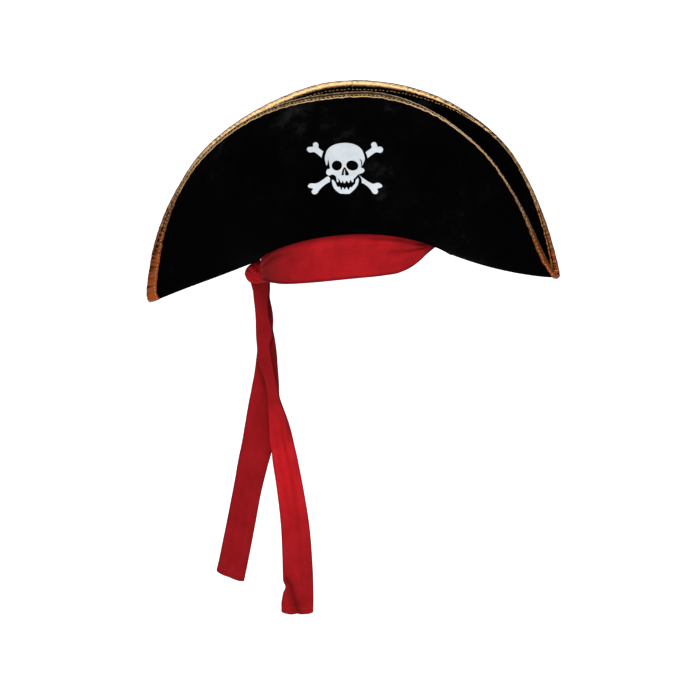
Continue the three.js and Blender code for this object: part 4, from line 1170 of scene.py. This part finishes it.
def gold_lame():
    """Gold lame tape: strips of metallised polyester under an amber lacquer, woven flat. Its colour
    is painted by height: darker and more orange at the two low tips as painted shade, and paler up
    along the crest as a painted highlight."""
    material, tree = new_material("gold_lame_tape")
    flat = add(tree, "ShaderNodeUVMap", uv_map="cloth").outputs["UV"]
    place = add(tree, "ShaderNodeTexCoord").outputs["Object"]
    # Threads 0.45 mm apart along the tape and 0.6 mm across it, and crinkles 2 to 4 mm across.
    weave = weave_of(tree, flat, [("X", 0.00045, 1.2), ("Y", 0.0006, 0.6)], "MULTIPLY")
    crinkle = add(tree, "ShaderNodeTexNoise", {"Vector": place}, Scale=380, Detail=4, Roughness=0.6)
    tarnish = add(tree, "ShaderNodeTexNoise", {"Vector": place}, Scale=110, Detail=5, Roughness=0.7)
    # Painted shade and highlight by height: darkest and most orange at the low tips, paling up to the
    # crest at 140 mm.
    height = add(tree, "ShaderNodeSeparateXYZ", {"Vector": place}).outputs["Z"]
    span = {"From_Min": -0.02, "From_Max": 0.14, "To_Max": 0.60}
    painted_height_light = add(tree, "ShaderNodeMapRange", {"Value": height}, **span)
    spotted = {0: tarnish.outputs["Fac"], 2: painted_height_light.outputs[0]}
    spread = add(tree, "ShaderNodeMath", spotted, operation="MULTIPLY_ADD", _1=0.6)
    golds = [(0.22, "#a04408"), (0.48, "#72411a"), (0.88, "#e2b880")]
    colour = add(tree, "ShaderNodeValToRGB", {"Fac": spread.outputs[0]}, stops=golds)
    crinkled = {"Value": crinkle.outputs["Fac"]}
    rough = add(tree, "ShaderNodeMapRange", crinkled, To_Min=0.12, To_Max=0.26)
    finish_material(
        tree,
        {"Base Color": colour.outputs["Color"], "Roughness": rough.outputs[0]},
        [(weave, 0.15, 0.0002), (crinkle.outputs["Fac"], 0.3, 0.0006)],
        Metallic=1.0,
        Coat_Weight=0.25,
        Coat_Roughness=0.15,
        Coat_IOR=1.6,
    )
    return material


def red_polycotton():
    """Red polycotton in a plain weave, with soft uneven dye and a faint bloom of loose fibres. A
    point attribute mixes in a darker red: partly the cloth's duller back face, and partly painted
    shade in folds, creases, under the brim and along the rolled fold."""
    material, tree = new_material("red_polycotton")
    flat = add(tree, "ShaderNodeUVMap", uv_map="cloth").outputs["UV"]
    place = add(tree, "ShaderNodeTexCoord").outputs["Object"]
    # Real threads lie 0.35 mm apart; they are drawn 0.6 mm apart, or they wouldn't show.
    weave = weave_of(tree, flat, [("X", 0.0006, 1.6), ("Y", 0.0006, 1.6)], "ADD")
    dye = add(tree, "ShaderNodeTexNoise", {"Vector": place}, Scale=45, Detail=7, Roughness=0.68)
    slub = add(tree, "ShaderNodeTexNoise", {"Vector": place}, Scale=700, Detail=3, Roughness=0.6)
    dyed = {0: weave, 2: dye.outputs["Fac"]}
    uneven = add(tree, "ShaderNodeMath", dyed, operation="MULTIPLY_ADD", _1=0.06).outputs[0]
    reds = [(0.38, "#b0141b"), (0.56, "#be1920"), (0.76, "#cc1f27")]
    deep_reds = [(0.38, "#5c070b"), (0.56, "#65090e"), (0.76, "#6e0b10")]
    face = add(tree, "ShaderNodeValToRGB", {"Fac": uneven}, stops=reds)
    deep = add(tree, "ShaderNodeValToRGB", {"Fac": uneven}, stops=deep_reds)
    # The darker red stands for the cloth's duller back face and for painted shade.
    dull_and_shade = add(tree, "ShaderNodeAttribute", attribute_name="dull_and_shade").outputs["Fac"]
    sides = {0: dull_and_shade, 6: face.outputs["Color"], 7: deep.outputs["Color"]}
    colour = add(tree, "ShaderNodeMix", sides, data_type="RGBA", blend_type="MIX")
    slubs = (slub.outputs["Fac"], 0.3, 0.0004)
    finish_material(
        tree,
        {"Base Color": colour.outputs[2]},
        [(weave, 0.4, 0.0003), slubs, (dye.outputs["Fac"], 0.3, 0.0015)],
        Roughness=0.85,
        Specular_IOR_Level=0.12,
        Sheen_Weight=0.03,
        Sheen_Roughness=0.4,
        Sheen_Tint=linear("#e05a5a"),
    )
    return material


def plastisol_print():
    """White plastisol ink pressed on velour: a satin film with the pile's grain under it."""
    material, tree = new_material("white_plastisol_print")
    place = add(tree, "ShaderNodeTexCoord").outputs["Object"]
    # The pile's grain is drawn 1.1 mm apart, and the ink lies unevenly in patches of 10 mm.
    grain = add(tree, "ShaderNodeTexNoise", {"Vector": place}, Scale=900, Detail=3, Roughness=0.6)
    patches = add(tree, "ShaderNodeTexNoise", {"Vector": place}, Scale=90, Detail=4, Roughness=0.6)
    whites = [(0.3, "#c2c9ce"), (0.7, "#d1d7dc")]
    colour = add(tree, "ShaderNodeValToRGB", {"Fac": patches.outputs["Fac"]}, stops=whites)
    relief = [(grain.outputs["Fac"], 0.35, 0.0003)]
    linked = {"Base Color": colour.outputs["Color"]}
    finish_material(tree, linked, relief, Roughness=0.55, Specular_IOR_Level=0.3)
    return material


def sewing_thread(name, hex_colour):
    """Spun polyester sewing thread, with its twist, 0.4 mm apart."""
    material, tree = new_material(name)
    place = add(tree, "ShaderNodeTexCoord").outputs["Object"]
    twist = add(tree, "ShaderNodeTexNoise", {"Vector": place}, Scale=2500, Detail=2)
    relief = [(twist.outputs["Fac"], 0.4, 0.0002)]
    finish_material(tree, {}, relief, Base_Color=linear(hex_colour), Roughness=0.5)
    return material


def dress(piece, material, slot, *nodes):
    """Gives a piece its material and its place in the frame."""
    piece.data.materials.clear()
    piece.data.materials.append(material)
    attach(piece, "root")
    if nodes:
        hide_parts(*nodes)
    return piece


def set_stage():
    """A pale floor below the tails, which glows as a light table does: white to the camera, and
    dimmer to the hat, whose gold mirrors it."""
    mesh = bpy.data.meshes.new("pale_floor")
    signs = [(-1, -1), (1, -1), (1, 1), (-1, 1)]
    corners = [(x * FLOOR_REACH, y * FLOOR_REACH, FLOOR_HEIGHT) for x, y in signs]
    mesh.from_pydata(corners, [], [(0, 1, 2, 3)])
    floor = bpy.data.objects.new("pale_floor", mesh)
    bpy.context.scene.collection.objects.link(floor)
    material, tree = new_material("pale_light_table")
    seen = add(tree, "ShaderNodeLightPath").outputs["Is Camera Ray"]
    glow = add(tree, "ShaderNodeMapRange", {"Value": seen}, To_Min=0.35, To_Max=1.0)
    white = {"Base_Color": linear("#f4f4f4"), "Emission_Color": (1, 1, 1, 1)}
    finish_material(tree, {"Emission Strength": glow.outputs[0]}, Roughness=0.9, **white)
    mesh.materials.append(material)


def softbox(name, place, size, watts):
    """A square area light that faces the hat. Like a polarised light, it isn't mirrored."""
    data = bpy.data.lights.new(name, "AREA")
    data.size = size
    data.energy = watts
    lamp = bpy.data.objects.new(name, data)
    bpy.context.scene.collection.objects.link(lamp)
    lamp.location = place
    lamp.visible_glossy = False
    hat_middle = Vector((0, 0, -0.05))
    lamp.rotation_euler = (hat_middle - Vector(place)).to_track_quat("-Z", "Y").to_euler()


def set_camera():
    """The photograph's view: 7 degrees to the right of the front and 10 degrees above level."""
    azimuth = np.radians(CAMERA_AZIMUTH)
    elevation = np.radians(CAMERA_ELEVATION)
    away = Vector(
        (
            np.sin(azimuth) * np.cos(elevation),
            -np.cos(azimuth) * np.cos(elevation),
            np.sin(elevation),
        )
    )
    data = bpy.data.cameras.new("photo_camera")
    data.sensor_width = SENSOR_WIDTH
    data.lens = SENSOR_WIDTH * CAMERA_DISTANCE / METRES_PER_PIXEL / PICTURE_WIDTH
    camera = bpy.data.objects.new("photo_camera", data)
    bpy.context.scene.collection.objects.link(camera)
    camera.location = Vector(CAMERA_AIM) + away * CAMERA_DISTANCE
    camera.rotation_euler = away.to_track_quat("Z", "Y").to_euler()
    bpy.context.scene.camera = camera


def set_light():
    """A soft key from above. The world is a studio that the gold mirrors: bright in front, with a
    strip light at 15 to 34 degrees up, at the right and straight behind, and dark overhead and at
    the left. The camera sees it white."""
    world = bpy.data.worlds.new("studio")
    bpy.context.scene.world = world
    world.use_nodes = True
    tree = world.node_tree
    tree.nodes.clear()
    way = add(tree, "ShaderNodeTexCoord").outputs["Generated"]
    split = add(tree, "ShaderNodeSeparateXYZ", {"Vector": way})
    # Each glow grows along an axis of the view from its first place to its second, to its most.
    spans = {
        "front": ("Y", -0.55, -0.9, 1.0),
        "above_strip_foot": ("Z", 0.26, 0.34, 2.6),
        "below_strip_top": ("Z", 0.56, 0.46, 1.0),
        "right": ("X", 0.5, 0.9, 0.35),
        "not_overhead": ("Z", 0.92, 0.60, 1.0),
        "behind": ("Y", 0.7, 0.95, 0.9),
    }
    glow = {"camera": add(tree, "ShaderNodeLightPath").outputs["Is Camera Ray"]}
    for name, (axis, dark, bright, most) in spans.items():
        ends = {"From_Min": dark, "From_Max": bright, "To_Max": most}
        along_axis = {"Value": split.outputs[axis]}
        glow[name] = add(tree, "ShaderNodeMapRange", along_axis, **ends).outputs[0]
    steps = [
        ("strip", "MULTIPLY_ADD", "above_strip_foot", "below_strip_top", 0.5),
        ("room", "MULTIPLY", "front", "strip", 0),
        ("room", "ADD", "room", "right", 0),
        ("room", "MULTIPLY_ADD", "room", "not_overhead", ROOM_GLOW),
        ("room", "ADD", "room", "behind", 0),
        ("room", "ADD", "room", "camera", 0),
    ]
    for name, operation, first, second, more in steps:
        pair = {0: glow[first], 1: glow[second]}
        glow[name] = add(tree, "ShaderNodeMath", pair, operation=operation, _2=more).outputs[0]
    sky = add(tree, "ShaderNodeBackground", {"Strength": glow["room"]}, Color=(1, 1, 1, 1))
    add(tree, "ShaderNodeOutputWorld", {"Surface": sky.outputs[0]})
    softbox("high_key", KEY_PLACE, KEY_SIZE, KEY_WATTS)
    bpy.context.scene.view_settings.view_transform = "Standard"
    bpy.context.scene.view_settings.look = "None"


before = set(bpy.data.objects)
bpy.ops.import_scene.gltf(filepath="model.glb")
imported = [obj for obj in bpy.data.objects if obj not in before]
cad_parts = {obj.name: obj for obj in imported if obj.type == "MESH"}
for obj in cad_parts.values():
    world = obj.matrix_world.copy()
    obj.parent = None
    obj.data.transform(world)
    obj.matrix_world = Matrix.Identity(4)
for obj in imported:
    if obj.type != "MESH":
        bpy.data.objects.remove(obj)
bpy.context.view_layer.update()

velour = polyester_velour()
lame = gold_lame()
cotton = red_polycotton()
ink = plastisol_print()
gold_thread = sewing_thread("gold_sewing_thread", "#c79a55")
red_thread = sewing_thread("red_sewing_thread", "#9c161c")

dress(make_brim(), velour, "velour", "brim")
dress(make_crown(), velour, "velour", "crown")
dress(make_tape(), lame, "gold_tape", "edge_binding")
dress(tape_stitches("outer_stitches", False), gold_thread, "gold_tape")
dress(tape_stitches("inner_stitches", True), gold_thread, "gold_tape")

sash = make_sash()
dress(sash, cotton, "red_cloth", "sash")
dress(make_knot(), cotton, "red_cloth", "sash_knot")
# The short tail takes about two thirds of the darker red all down its length.
short_tail_darkening = [(0, 0.7), (0.5, 0.6), (1, 0.68)]
short_tail, short_middle = make_tail(
    "short_tail_cloth", SHORT_TAIL, SHORT_TAIL_DROP, 1, 3.4, 0, short_tail_darkening
)
dress(short_tail, cotton, "red_cloth", "short_tail")
# The long tail's darker red: its duller back face down to the twist, and painted shade over its lower
# part from 0.75 down.
long_tail_back_and_shade = [
    (0, 0.72), (0.3, 0.70), (0.38, 0.45), (0.46, 0.2), (0.6, 0), (0.75, 0.4), (0.88, 0.58), (1, 0.55),
]
long_tail, long_middle = make_tail(
    "long_tail_cloth", LONG_TAIL, LONG_TAIL_DROP, 2, -0.8, 1, long_tail_back_and_shade
)
dress(long_tail, cotton, "red_cloth", "long_tail")
dress(hem_stitches("short_tail_stitches", short_middle), red_thread, "red_cloth")
dress(hem_stitches("long_tail_stitches", long_middle), red_thread, "red_cloth")

skull_outline = np.concatenate(
    [
        flowing(RIGHT_CHEEK, 60),
        flowing(RIGHT_TEMPLE, 24),
        flowing(DOME, 100),
        flowing(LEFT_TEMPLE, 22),
        flowing(LEFT_CHEEK, 50),
        flowing(UPPER_TEETH, 130),
    ]
)
skull_holes = [oval(*eye) for eye in EYES] + [closed_flow(NOSE, 90)]
dress(make_print("skull_film", skull_outline, skull_holes), ink, "white_print", "skull_print")
dress(make_print("jaw_film", closed_flow(JAW, 230)), ink, "white_print", "jaw_print")
for bone, rows in BONES.items():
    dress(make_print(bone + "_film", closed_flow(rows, 90)), ink, "white_print", bone + "_print")

set_stage()
set_light()
set_camera()
